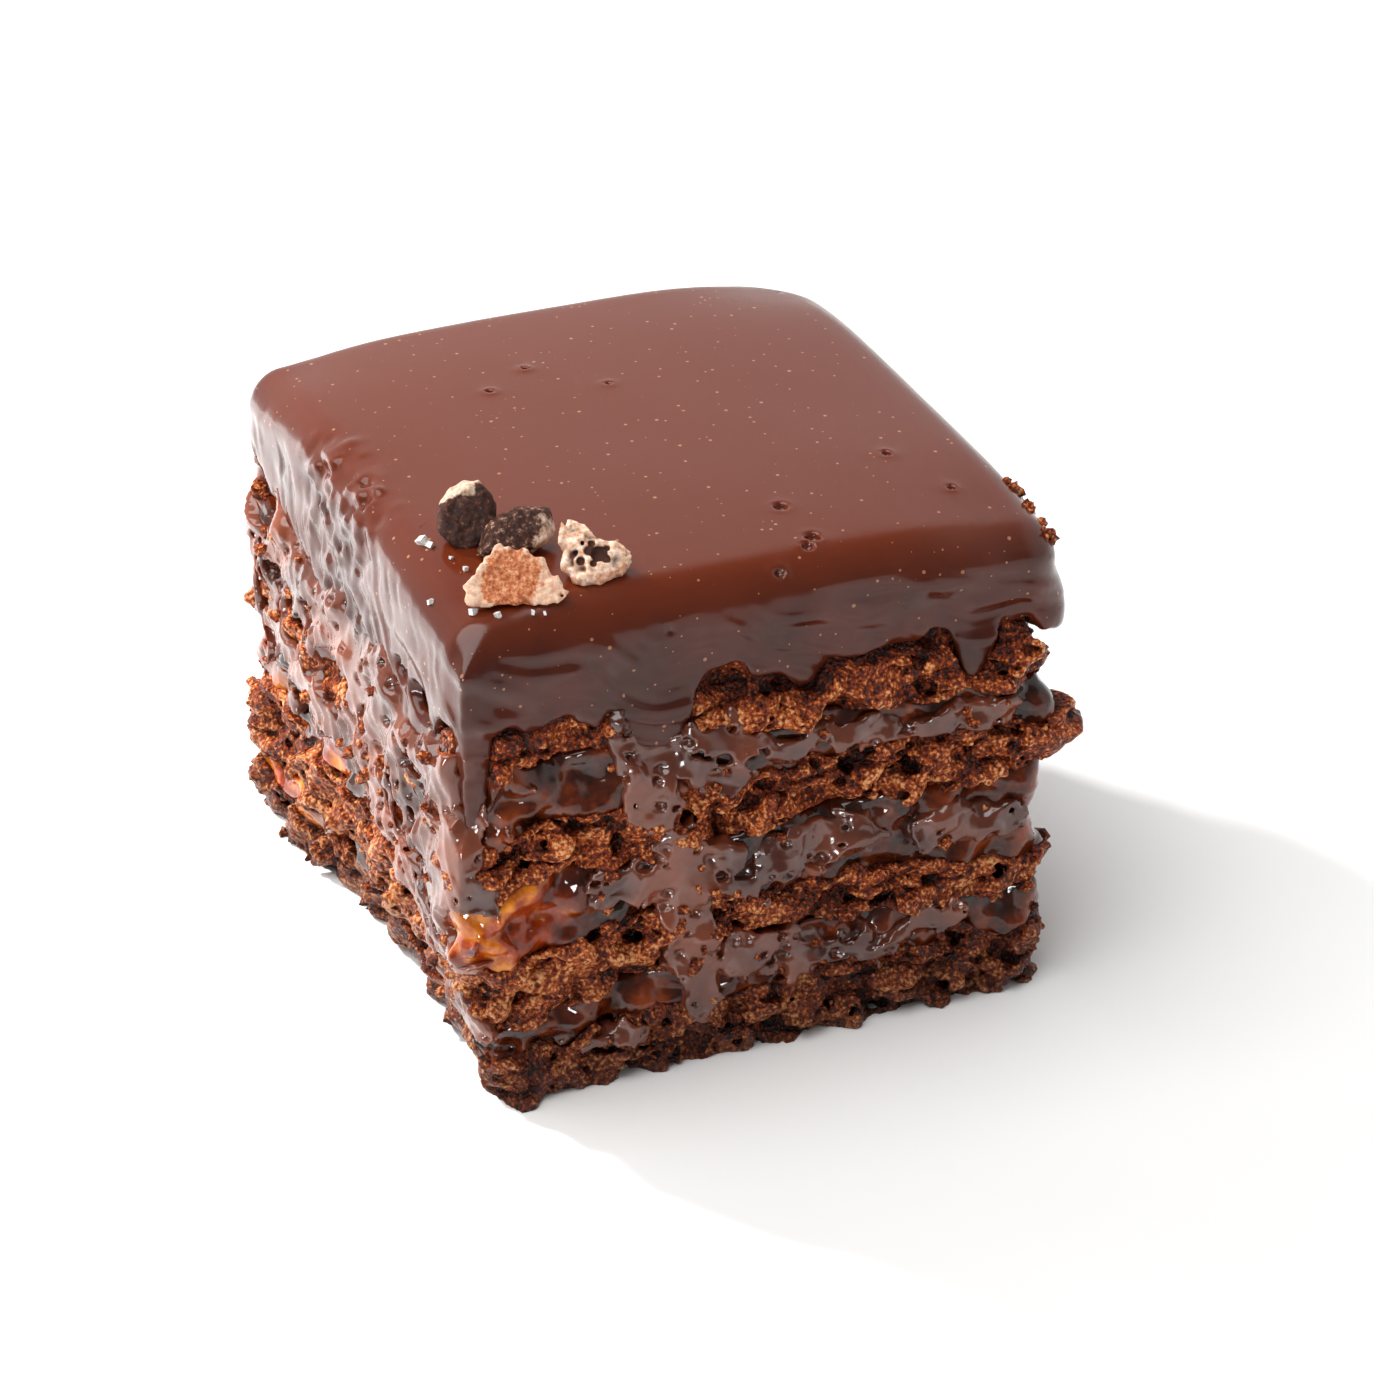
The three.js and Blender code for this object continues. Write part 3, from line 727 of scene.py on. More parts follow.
def cap_body(axes, x, y, z):
    out, near_x, near_y, out_x, out_y = outline_distance(x, y, GLAZE_CORNERS, GLAZE_OVERHANG)
    swell = RIGHT_SWELL * np.maximum(out_x, 0) * bell(z - RIGHT_SWELL_HEIGHT, RIGHT_SWELL_REACH)
    outside = smoothstep(out, -4, -1)
    flow = glaze_flow(axes, z, near_x, near_y, out_x, out_y) * smoothstep(z, 35.2, 32.5)
    side = out + (near_corner_softening(z, near_x, out_y) - swell - flow) * outside
    top = z - crown_height(x, y)
    top = top - noise(axes, 7.0, 44) * TOP_SWELL - noise(axes, 2.4, 40) * TOP_RIPPLE
    lumps = noise(axes, 0.9, 43) * RUGGED_DEPTH
    lumps = lumps * bell(x - RUGGED_X[0], RUGGED_X[1]) * blunt(y - RUGGED_Y[0], RUGGED_Y[1])
    beside, above = side - lumps + GLAZE_FILLET, top - lumps + GLAZE_FILLET
    rounded = np.hypot(np.maximum(beside, 0), np.maximum(above, 0))
    values = np.minimum(np.maximum(beside, above), 0) + rounded - GLAZE_FILLET
    edge = glaze_edge(near_x, near_y) - EDGE_LOWERING
    edge = edge - noise(axes, (2.4, 2.4, 60.0), 45) * FINGERS
    edge = edge - noise(axes, (0.9, 0.9, 60.0), 46) * FINE_FINGERS
    return smooth_max(values, edge - z, LIP)


def glaze_cap_field():
    axes = cake_axes(17.5, 38.4, GLAZE_VOXEL)
    x, y = (a[..., None] for a in np.meshgrid(axes[0], axes[1], indexing="ij"))
    z = axes[2][None, None, :]
    values = cap_body(axes, x, y, z)
    cake_out, *_ = outline_distance(x, y, CUT_CORNERS)
    hollow = np.maximum(cake_out + GLAZE_WALL, z - JOINS[6][0] + 0.25)
    values = np.maximum(values, -hollow)
    frayed = noise(axes, 1.1, 47) * 0.3
    for torn_x, torn_y, torn_z, radius in TORN:
        away = np.sqrt((x - torn_x) ** 2 + (y - torn_y) ** 2 + (1.5 * (z - torn_z)) ** 2)
        values = smooth_max(values, radius - away + frayed, 0.25)
    for pit_x, pit_y, radius in PITS:
        height = top_height(pit_x, pit_y)
        from_pit = np.hypot(x - pit_x, y - pit_y)
        rim = bell(from_pit - radius, PIT_RIM_WIDTH) * bell(z - height, PIT_RIM_HEIGHT)
        away = np.sqrt(from_pit ** 2 + (z - height + 0.1) ** 2)
        values = smooth_max(values - PIT_RIM * rim, radius - away, 0.1)
    return values.astype(np.float32), axes


glaze_cap = draw_surface("glaze_cap", *glaze_cap_field(), adaptivity=0.004, settle=True)

# %% [markdown]
# ## Thin glaze over the sides
# Below its thick edge the glaze went on as a thin skin that follows the crumb, is torn over the
# larger bubbles and ends in hooked drips. It is a second surface laid over a smoothed copy of the
# sides. Where its thickness is below zero it dives under the crumb and can't be seen.

# %% Where the thin runs go
STREAK_SLANT = -0.45
STRAND_SEED, STRAND_COUNT, STRAND_TOP = 58, 34, 23
FRONT, LEFT, RIGHT, BACK = -22.5, -21.0, 21.0, 22.5
RUNS = [  # from x, y, z to x, y, z, radius
    (-8.5, FRONT, 26, -7.5, FRONT, 21, 2.0),
    (-6.5, FRONT, 23.5, -2.2, FRONT, 21.5, 1.2),
    (-4.5, FRONT, 25, 0.5, FRONT, 24.0, 1.0),
    (1.0, FRONT, 23.5, 9.0, FRONT, 23.2, 0.9),
    (9.0, FRONT, 22.6, 17.5, FRONT, 22.6, 0.8),
    (-11.0, FRONT, 15.5, -3.0, FRONT, 15.0, 1.9),
    (-6.0, FRONT, 16.5, -5.0, FRONT, 5.0, 1.9),
    (-3.2, FRONT, 15.7, -1.4, FRONT, 13.0, 0.8),
    (-1.4, FRONT, 13.0, -0.2, FRONT, 11.8, 0.8),
    (0.5, FRONT, 14.3, 7.5, FRONT, 14.6, 1.4),
    (-1.5, FRONT, 7.6, 3.0, FRONT, 6.2, 1.7),
    (2.0, FRONT, 5.8, 13.0, FRONT, 6.2, 0.7),
    (-14.5, FRONT, 3.6, -9.5, FRONT, 3.4, 0.9),
    (11.5, FRONT, 7.0, 14.0, FRONT, 7.4, 1.3),
    (12.0, FRONT, 14.2, 18.0, FRONT, 14.0, 1.2),
    (LEFT, -21.6, 31, LEFT, -21.8, 18.5, 1.15),
    (LEFT, -21.4, 20, LEFT, -20.5, 12.5, 0.8),
    (LEFT, 22, 26.5, LEFT, 8, 27, 4.0),
    (LEFT, 10, 27, LEFT, -6, 26.5, 4.4),
    (LEFT, -2, 25, LEFT, -12, 23.5, 3.8),
    (LEFT, -8, 24, LEFT, -18, 21, 4.0),
    (LEFT, -14, 21, LEFT, -20.5, 16, 3.2),
    (LEFT, -17, 18, LEFT, -20.5, 11.5, 2.0),
    (LEFT, 16, 17.5, LEFT, -6, 16.0, 1.5),
    (LEFT, -6, 16, LEFT, -17, 9.5, 2.0),
    (LEFT, -15, 9, LEFT, -21, 6, 1.4),
    (RIGHT, 2, 26, RIGHT, 3, 17, 1.5),
    (RIGHT, -10, 23, RIGHT, 10, 23, 0.9),
    (RIGHT, -15, 15.5, RIGHT, -3, 14.5, 1.7),
    (RIGHT, 8, 17, RIGHT, 9, 6.5, 1.6),
    (RIGHT, -12, 7.4, RIGHT, -1, 6.6, 1.1),
    (12, BACK, 26, 11, BACK, 18, 1.6),
    (-12, BACK, 26, -13, BACK, 20, 1.8),
    (-8, BACK, 14.5, 6, BACK, 14.5, 1.4),
    (3, BACK, 25, 1.5, BACK, 12, 1.6),
    (11, BACK, 7.4, -2, BACK, 6.6, 1.1),
]
HOLES = [  # torn places: x, y, z, radius
    (LEFT, 19, 26.6, 3.3), (LEFT, -11.3, 27.4, 1.7), (LEFT, -14.6, 27.2, 2.0),
    (LEFT, -19.6, 27.4, 1.7), (LEFT, 3, 20, 2.4), (LEFT, 11, 20, 2.4), (LEFT, -13, 22, 1.5),
    (LEFT, -18, 21.5, 1.3), (-20.0, FRONT, 13.6, 2.9), (LEFT, 14, 8, 4.0),
]


def make_strands():
    """Thin threads of glaze that run on from the left side's film, slanting to the near edge."""
    rng = np.random.default_rng(STRAND_SEED)
    strands = []
    for start in np.linspace(20, -19, STRAND_COUNT):
        top = STRAND_TOP - 0.1 * max(-start, 0) + rng.uniform(-2, 2)
        length = rng.uniform(3, 9)
        foot = max(start + STREAK_SLANT * length * rng.uniform(0.2, 1.6), -21.8)
        strands.append((LEFT, start, top, LEFT, foot, top - length, rng.uniform(0.35, 0.7)))
    return strands


print(len(RUNS), "runs and", STRAND_COUNT, "strands")

# %% [markdown]
# Each run is a line with a radius, measured over the sides. All the runs together say how far a
# point is inside the film's edge, and noise makes that edge ragged.

# %% The film's cover
COVER_NOISES = [(2.0, 51, 0.5), (0.9, 52, 0.35), (0.55, 59, 0.2)]  # size, seed, depth
NO_COVER = -3.0
HOLE_FRAY = 0.3


def run_distance(sides, start, end):
    """Distance to a run's centre line, measured on the nearest points of the sides."""
    start, end = np.array(start, float), np.array(end, float)
    along = end - start
    from_x, from_y, from_z = sides.near_x - start[0], sides.near_y - start[1], sides.z - start[2]
    share = (from_x * along[0] + from_y * along[1] + from_z * along[2]) / (along ** 2).sum()
    share = np.clip(share, 0, 1)
    return np.sqrt((from_x - share * along[0]) ** 2 + (from_y - share * along[1]) ** 2
                   + (from_z - share * along[2]) ** 2)


def film_cover(sides):
    """How far inside the film's ragged edge a point lies, in mm."""
    cover = np.full(np.broadcast_shapes(sides.near_x.shape, sides.z.shape), NO_COVER, np.float32)
    for *line, radius in RUNS + make_strands():
        cover = np.maximum(cover, radius - run_distance(sides, line[:3], line[3:]))
    for size, seed, depth in COVER_NOISES:
        cover += noise(sides.axes, size, seed) * depth
    for x, y, z, radius in HOLES:
        away = np.sqrt((sides.near_x - x) ** 2 + (sides.near_y - y) ** 2
                       + (1.4 * (sides.z - z)) ** 2)
        cover = np.minimum(cover, away - radius + HOLE_FRAY * noise(sides.axes, 1.2, 55))
    return cover


# %% [markdown]
# The cover turns into a thickness, with a thicker rim along the edge and slanting ridges where the
# glaze ran. Small tears are stamped in first. The film is then the space between two sheets: its
# outside, and a backing inside the crumb that never shows.

# %% The film of glaze
FILM_VOXEL = 0.24
FILM_BACKING, FILM_THICK, FILM_SUNK = 0.75, 0.4, -1.0
FILM_RIM, FILM_RIM_WIDTH = 0.12, 0.3
TEAR_SEED, TEAR_TRIES, TEAR_SIZES, TEAR_EDGE = 54, 5200, (0.15, 0.5), 0.1
STREAK_DEPTH, STREAK_PACE = 0.2, 4.4


def tear(part, ball, out):
    np.minimum(part, TEAR_EDGE - ball, out=out)


def film_thickness(sides):
    cover = film_cover(sides).astype(np.float32)
    rng = np.random.default_rng(TEAR_SEED)
    places = place_round(rng, TEAR_TRIES, 0.6, -0.6)
    tears = np.column_stack([*places, rng.uniform(*TEAR_SIZES, TEAR_TRIES)])
    stamp(cover, sides.axes, tears, tear, PORE_FLATNESS)
    thickness = mix(FILM_SUNK, FILM_THICK, smoothstep(cover, -0.25, 0.2))
    thickness += FILM_RIM * bell(cover - FILM_RIM_WIDTH, FILM_RIM_WIDTH)
    slant = STREAK_PACE * (sides.near_y - sides.near_x + STREAK_SLANT * sides.z)
    ridges = (0.5 + 0.5 * np.sin(slant + 2.2 * noise(sides.axes, 3.5, 57))) ** 3
    ridges = ridges * (0.6 + 0.4 * noise(sides.axes, 2.5, 50))
    leftward = 0.3 + 0.7 * np.maximum(-sides.out_x, 0)
    return thickness + STREAK_DEPTH * ridges * leftward + noise(sides.axes, 1.1, 56) * 0.05


def film_field():
    sides = Sides(cake_axes(1.6, 31.5, FILM_VOXEL))
    thickness = film_thickness(sides)
    push = 0.1 + 0.3 * crag(sides.near_x, sides.near_y, sides.z)
    push = push + form_push(sides.near_x, sides.near_y, sides.z)
    push = push + noise(sides.axes, (2.8, 2.8, 1.6), 53) * 0.12
    ridge = corner_ridge(sides.out_x, sides.out_y, sides.z, CUT_CORNERS["front_left"])
    push = push + ridge * smoothstep(sides.z, 13.0, 17.0)
    under_glaze = smoothstep(sides.z, sides.edge - 0.3, sides.edge + 1.5)
    side = sides.out - mix(push, -0.8, under_glaze)
    values = smooth_max(side - thickness, -(side + FILM_BACKING), 0.25)
    values = np.maximum(values, sides.z - sides.edge - 2.0)
    return values.astype(np.float32), sides.axes


glaze_runs = draw_surface("glaze_runs", *film_field(), adaptivity=0.035, settle=True)

# %% [markdown]
# ## Cocoa nibs
# Nibs are bits of roasted cocoa bean: hard, dry and broken, with a matte dark inside and shreds of
# pale skin. A rounded lump with a few pulled corners and some flat cuts reads as a broken bean. The
# lists below are the only things that differ from nib to nib.

# %% The nibs' measures
NIB_VOXEL = 0.1
NIB_CORNER_SPREAD = 0.42  # radians
NIB_TURN = -22  # degrees, towards the camera
NIB_PAD = 0.6
DARK_NIBS = ("nib_1", "nib_2")
NIBS = {  # centre, half sizes, tilt, roll, cup, corners as (direction, reach)
    "nib_1": ((-16.2, -11.2, 38.3), (1.85, 2.3, 1.2), 72, -14, 0.0,
              [(20, 0.04), (150, 0.05), (250, -0.06)]),
    "nib_2": ((-13.8, -14.0, 37.85), (2.7, 1.65, 1.35), 60, 27, 0.0,
              [(35, 0.1), (-28, 0.12), (175, 0.04), (90, -0.06)]),
    "nib_3": ((-15.8, -18.6, 37.05), (2.75, 1.9, 0.55), 50, 0, 0.5,
              [(102, 0.28), (208, 0.3), (334, 0.3), (270, -0.2), (150, -0.14), (40, -0.05)]),
    "nib_4": ((-10.2, -18.6, 37.4), (2.15, 1.55, 1.2), 42, 4, 0.15,
              [(116, 0.75), (70, -0.12), (10, 0.06), (250, 0.1)]),
}
NIB_CUTS = {  # broken faces in the nib's own plane: direction out of the face, distance
    "nib_1": [((0.1, -0.05, 1.0), 0.72), ((-0.8, 0.6, 0.3), 1.72), ((0.9, 0.5, 0.5), 1.75)],
    "nib_2": [((0.15, 0.1, 1.0), 0.9), ((0.5, 0.85, 0.3), 1.62), ((-0.7, 0.7, 0.35), 1.85),
              ((0.95, -0.25, 0.35), 2.1), ((-0.5, -0.8, 0.5), 1.7)],
}
NIB_ROUGHNESS = {"nib_1": 0.05, "nib_2": 0.05, "nib_3": 0.06, "nib_4": 0.11}
NIB_PITS = {  # in the nib's own plane: x, y, z, radius
    "nib_4": [(0.3, 0.1, 1.0, 0.55), (-0.35, 0.35, 1.15, 0.36), (0.75, -0.3, 0.95, 0.3),
              (-0.9, -0.3, 0.95, 0.3), (-0.1, 0.85, 0.95, 0.26), (0.85, 0.45, 0.85, 0.22),
              (-0.1, -0.55, 1.0, 0.24), (-0.7, 0.9, 0.8, 0.2), (-1.1, 0.35, 0.7, 0.2)],
}


print(len(NIBS), "nibs")

# %% [markdown]
# Each nib is made lying flat in its own plane, where corners and cuts are easy to place. A matrix
# then turns it and seats it in the glaze like the solid it replaces. Its points keep their place in
# the nib's own plane, because the material colours the skin by it.

# %% Nib forms
def nib_matrix(name):
    centre, _, tilt, roll, _, _ = NIBS[name]
    turned = Matrix.Rotation(math.radians(NIB_TURN), 4, "Z")
    tilted = Matrix.Rotation(math.radians(tilt), 4, "X")
    rolled = Matrix.Rotation(math.radians(roll), 4, "Z")
    return np.array(Matrix.Translation(centre) @ turned @ tilted @ rolled)


def nib_field(name):
    """The nib in its own plane: x across, y up, z through its thickness."""
    _, (half_x, half_y, half_z), _, _, cup, corners = NIBS[name]
    high = np.array([half_x * 1.6, half_y * 1.8, half_z + abs(cup) + NIB_PAD])
    axes = grid_axes(-high, high, NIB_VOXEL)
    x, y, z = np.meshgrid(*axes, indexing="ij")
    reach = 1.0
    heading = np.arctan2(y / half_y, x / half_x)
    for direction, height in corners:
        away = heading - math.radians(direction)
        away = np.abs(np.arctan2(np.sin(away), np.cos(away)))
        reach = reach + height * bell(away, NIB_CORNER_SPREAD)
    flat = np.hypot(x / half_x, y / half_y) / reach
    cupped = z - cup * (flat ** 2 - 0.5)
    power = 2.6 if name in DARK_NIBS else 2.2
    size = (flat ** power + np.abs(cupped / half_z) ** power) ** (1 / power)
    values = (size - 1) * min(half_x, half_y, half_z * 1.6)
    for direction, distance in NIB_CUTS.get(name, []):
        a, b, c = np.array(direction) / np.linalg.norm(direction)
        values = smooth_max(values, a * x + b * y + c * z - distance, 0.15)
    whole = values.astype(np.float32)
    seed = 60 + int(name[-1])
    rough = NIB_ROUGHNESS[name]
    values = values + noise(axes, 0.55, seed) * rough + noise(axes, 0.24, seed + 10) * rough * 0.5
    for pit_x, pit_y, pit_z, radius in NIB_PITS.get(name, []):
        away = np.sqrt((x - pit_x) ** 2 + (y - pit_y) ** 2 + (z - pit_z) ** 2)
        values = smooth_max(values, radius - away, 0.08)
    return values.astype(np.float32), axes, whole


nib_pieces = {}
for name in NIBS:
    values, axes, whole = nib_field(name)
    points, faces = surface_points(values, axes)
    faces = faces_out(values, axes, points, faces)
    matrix = nib_matrix(name)
    placed = points @ matrix[:3, :3].T + matrix[:3, 3]
    piece = make_piece(name + "_roasted", placed, faces)
    own = piece.data.attributes.new("own_place", "FLOAT_VECTOR", "POINT")
    own.data.foreach_set("vector", points.astype(np.float32).ravel())
    store(piece, "relief", sample(whole, axes, points))
    nib_pieces[name] = piece

# %% [markdown]
# ## Sugar grains
# A few clear sugar grains lie on the glaze round the nibs and catch the light. Each is a small
# block with random sizes and a random turn, and together they are one piece.

# %% Sugar
SUGAR_SEED = 71
SUGAR_SPOTS = [  # x, y, size in mm
    (-18.9, -10.2, 0.6), (-18.6, -10.9, 0.4), (-18.6, -18.9, 0.5), (-17.3, -19.9, 0.34),
    (-20.3, -15.6, 0.3), (-17.5, -14.5, 0.3), (-17.9, -12.9, 0.22), (-15.2, -20.6, 0.24),
    (-14.5, -20.9, 0.2),
]
CUBE = np.array([[i, j, k] for i in (-1, 1) for j in (-1, 1) for k in (-1, 1)], float)
CUBE_FACES = np.array([[0, 1, 3, 2], [4, 6, 7, 5], [0, 4, 5, 1], [2, 3, 7, 6], [0, 2, 6, 4], [1, 5, 7, 3]])
NO_TRIANGLES, NO_QUADS = np.zeros((0, 3), int), np.zeros((0, 4), int)


def make_sugar():
    rng = np.random.default_rng(SUGAR_SEED)
    points, faces = [], []
    for x, y, size in SUGAR_SPOTS:
        block = CUBE * rng.uniform(0.35, 0.6, 3) * size + rng.normal(0, 0.06 * size, CUBE.shape)
        spin = Matrix.Rotation(rng.uniform(0, 6.28), 3, Vector(rng.normal(size=3)))
        faces.append(CUBE_FACES + len(CUBE) * len(points))
        points.append(block @ np.array(spin).T + (x, y, top_height(x, y) + 0.25 * size))
    return make_piece("sugar_grains", np.concatenate(points), [NO_TRIANGLES, np.concatenate(faces)])


sugar = make_sugar()
sugar.data.polygons.foreach_set("use_smooth", np.zeros(len(sugar.data.polygons), bool))

# %% [markdown]
# ## Loose crumbs
# Cutting the cake left crumbs on its sides, stuck to the wet glaze. A ray is sent in from outside
# for each one, so that it sits on whatever surface is really there.

# %% Crumbs
CRUMB_SEED, CRUMB_SIZES = 81, (0.22, 0.5)  # radius in mm
CRUMB_STRETCH, CRUMB_LUMPS = (0.6, 1.2), 0.3
RAY_LENGTH = 20 * MM
CRUMB_FIELDS = [  # how many, lowest and highest corner, direction of the rays
    (90, (-17, -30, 3), (19, -30, 25), (0, 1, 0)),
    (60, (-30, -20, 5), (-30, 21, 27), (1, 0, 0)),
    (16, (30, -21, 33.2), (30, -14, 35.2), (-1, 0, 0)),
    (40, (30, -19, 3), (30, 17, 27), (-1, 0, 0)),
    (40, (-17, 30, 3), (16, 30, 27), (0, -1, 0)),
]


def round_lump():
    """Points and triangles of a ball with radius 1."""
    ball = bmesh.new()
    bmesh.ops.create_icosphere(ball, subdivisions=2, radius=1)
    points = np.array([v.co for v in ball.verts])
    triangles = np.array([[v.index for v in f.verts] for f in ball.faces])
    ball.free()
    return points, triangles


def make_crumbs():
    rng = np.random.default_rng(CRUMB_SEED)
    depsgraph = bpy.context.evaluated_depsgraph_get()
    trees = [BVHTree.FromObject(surface, depsgraph) for surface in (glaze_runs, glaze_cap)]
    shape, triangles = round_lump()
    points, faces = [], []
    for count, low, high, heading in CRUMB_FIELDS:
        for _ in range(count):
            start = (rng.uniform(low, high) + BLOCK_MIDDLE) * MM
            radius = rng.uniform(*CRUMB_SIZES) * rng.uniform(*CRUMB_STRETCH, 3)
            lumps = 1 + CRUMB_LUMPS * rng.standard_normal((len(shape), 1))
            hits = [tree.ray_cast(Vector(start), Vector(heading), RAY_LENGTH) for tree in trees]
            hits = [hit for hit in hits if hit[0] is not None]
            if hits:
                nearest = min(hits, key=lambda hit: hit[3])[0]
                faces.append(triangles + len(shape) * len(points))
                points.append(shape * radius * lumps + np.array(nearest) / MM - BLOCK_MIDDLE)
    return make_piece("loose_crumbs", np.concatenate(points), [np.concatenate(faces), NO_QUADS])


loose_crumbs = make_crumbs()

# %% [markdown]
# ## Materials
# Every colour is written as the hex value that the eye sees and turned to Blender's linear values
# by one function. Another adds a node with its settings and links, so that a material reads from
# top to bottom like a recipe.

# %% Material helpers
def linear(hex_colour):
    channels = [int(hex_colour[k:k + 2], 16) / 255 for k in (1, 3, 5)]
    return (*[c / 12.92 if c <= 0.04045 else ((c + 0.055) / 1.055) ** 2.4 for c in channels], 1.0)


def fill_inputs(tree, node, inputs):
    """Sets each named input to its value, or links it where the value is (node, output)."""
    for key, value in inputs.items():
        if isinstance(value, tuple) and isinstance(value[0], bpy.types.Node):
            tree.links.new(value[0].outputs[value[1]], node.inputs[key])
        else:
            node.inputs[key].default_value = value


def add_node(tree, kind, inputs, settings=None, stops=()):
    """Adds a node. stops are the (place, hex colour) pairs of a colour ramp."""
    node = tree.nodes.new("ShaderNode" + kind)
    for key, value in (settings or {}).items():
        setattr(node, key, value)
    fill_inputs(tree, node, inputs)
    for number, (place, colour) in enumerate(stops):
        elements = node.color_ramp.elements
        element = elements[number] if number < 2 else elements.new(place)
        element.position = place
        element.color = linear(colour)
    return node


def new_material(name):
    material = bpy.data.materials.new(name)
    material.use_nodes = True
    tree = material.node_tree
    place = add_node(tree, "TexCoord", {})
    return material, tree, tree.nodes["Principled BSDF"], (place, "Object")


COLOUR_MIX = {"data_type": "RGBA"}
SOFT_RANGE = {"interpolation_type": "SMOOTHSTEP"}
MULTIPLY_ADD = {"operation": "MULTIPLY_ADD"}
print("mid grey is", round(linear("#808080")[0], 3), "in linear light")

# %% [markdown]
# ### Chocolate glaze
# Chocolate melted with syrup sets to a smooth gloss over a deep red-brown. On top it is painted a
# lighter, redder brown than on the sides, as painted light where the light falls on the top. Fine
# specks of cocoa butter and air show as pale dots about 0.15 mm wide. Each speck sits in a cell of
# its own, and only the few whose random number is high are drawn large.

# %% Glaze specks
SPECK_SPACING = 0.55 * MM
SPECK_RADIUS = 0.07 * MM
SPECK_COLOUR = "#a87452"


def add_specks(tree, place, base):
    cells = add_node(tree, "TexVoronoi", {"Vector": place, "Scale": 1 / SPECK_SPACING})
    pick = add_node(tree, "SeparateColor", {"Color": (cells, "Color")})
    size = add_node(tree, "Math", {0: (pick, "Red"), 1: 5.0}, {"operation": "POWER"})
    radius = add_node(tree, "Math", {0: (size, "Value"), 1: 2 * SPECK_RADIUS / SPECK_SPACING},
                      {"operation": "MULTIPLY"})
    dot = add_node(tree, "Math", {0: (cells, "Distance"), 1: (radius, "Value")},
                   {"operation": "LESS_THAN"})
    return add_node(tree, "Mix", {"Factor": (dot, "Value"), "A": (base, "Result"),
                                  "B": linear(SPECK_COLOUR)}, COLOUR_MIX)


print("specks up to", round(2 * SPECK_RADIUS / MM, 2), "mm wide")

# %% [markdown]
# The thin skin on the sides lets more light through than the cap, and its browns are painted
# lighter still, as a painted sheen of the pale floor that it mirrors. Its gloss is stronger, as it
# is wet with syrup.

# %% Glaze material
# The top's colour is painted lighter than the sides': painted light where the light falls on it.
GLAZE_LIT_TOP_COLOUR = "#682912"
GLAZE_LIT_TOP_HEIGHTS = 32.5 * MM, 36.8 * MM
GLAZE_CLOUD, GLAZE_WEAR = 5 * MM, 1.4 * MM


def glaze_material(name, dark, light, roughness, index, speckled):
    """dark to light in clouds over the sides, and one lighter, redder shade on top as painted light."""
    material, tree, shader, place = new_material(name)
    cloud = add_node(tree, "TexNoise", {"Vector": place, "Scale": 1 / GLAZE_CLOUD, "Detail": 3.0})
    sides = add_node(tree, "ValToRGB", {"Fac": (cloud, "Fac")}, stops=[(0.35, dark), (0.68, light)])
    parts = add_node(tree, "SeparateXYZ", {"Vector": place})
    low, high = GLAZE_LIT_TOP_HEIGHTS
    height = add_node(tree, "MapRange", {"Value": (parts, "Z"), "From Min": low, "From Max": high},
                      SOFT_RANGE)
    # Painted light: above the top heights the sides' browns give way to the lit top colour.
    base = add_node(tree, "Mix", {"Factor": (height, "Result"), "A": (sides, "Color"),
                                  "B": linear(GLAZE_LIT_TOP_COLOUR)}, COLOUR_MIX)
    if speckled:
        base = add_specks(tree, place, base)
    wear = add_node(tree, "TexNoise", {"Vector": place, "Scale": 1 / GLAZE_WEAR, "Detail": 2.0})
    gloss = add_node(tree, "MapRange", {
        "Value": (wear, "Fac"), "To Min": roughness * 0.8, "To Max": roughness * 1.3})
    bump = add_node(tree, "Bump", {
        "Height": (wear, "Fac"), "Strength": 0.12, "Distance": 0.08 * MM})
    fill_inputs(tree, shader, {
        "Base Color": (base, "Result"), "Roughness": (gloss, "Result"), "Normal": (bump, "Normal"),
        "IOR": index, "Subsurface Weight": 0.25, "Subsurface Scale": 1.2 * MM,
        "Subsurface Radius": (1.0, 0.3, 0.12)})
    return material


set_chocolate = glaze_material("set chocolate glaze", "#44190d", "#5c2413", 0.17, 1.47, True)
# The thin skin's light brown is partly painted reflection of the pale floor.
thin_chocolate = glaze_material("thin chocolate glaze", "#4c2013", "#88462c", 0.16, 1.7, False)
print("made", set_chocolate.name, "and", thin_chocolate.name)

# %% [markdown]
# ### Cooked apricot jam
# The jam is a clear amber gel that the chocolate has stained brown nearly everywhere. At a few
# spots on the left, where the light falls, it is painted bright amber, partly as clear jam and partly
# as painted light; they are marked by their distance. It lets light in, so subsurface scattering
# warms it, and its skin is as glossy as wet glass over soft pulp.

# %% Spots in a material
def add_nearness(tree, place, spots):
    """1 at any of the spots, falling to 0 at its reach. Spots are x, y, z and reach in mm."""
    total = None
    for x, y, z, reach in spots:
        at = tuple((np.array((x, y, z)) + BLOCK_MIDDLE) * MM)
        away = add_node(tree, "VectorMath", {0: place, 1: at}, {"operation": "DISTANCE"})
        near = add_node(tree, "MapRange", {
            "Value": (away, "Value"), "From Min": reach * MM, "From Max": 0.35 * reach * MM},
            SOFT_RANGE)
        if total is None:
            total = (near, "Result")
        else:
            total = (add_node(tree, "Math", {0: total, 1: (near, "Result")},
                              {"operation": "MAXIMUM"}), "Value")
    return total


print("reach of a spot fades over its outer", round(1 - 0.35, 2))

# %% [markdown]
# Two colour ramps over the same clouds give stained jam and clear jam painted as lit, and the
# nearness to the spots blends them. The bump is broad and soft: fine bump would make a wet gel look
# like leather.

# %% Jam material
# Painted light with clear jam: bright amber at these spots on the lit left side and near corner.
JAM_LIT_SPOTS = [(-18, -22, 14, 6.5), (-21, 17, 6, 9.0), (-20, -22, 9.5, 3.0), (-21, 6, 13, 5)]
JAM_STAINED = [(0.38, "#260e06"), (0.52, "#541f0b"), (0.68, "#8c3c12")]
JAM_CLEAR_AND_LIT = [(0.34, "#5a1a06"), (0.5, "#a43c0a"), (0.66, "#ee9224")]
JAM_CLOUD, PULP_SIZE = 3 * MM, 1.3 * MM


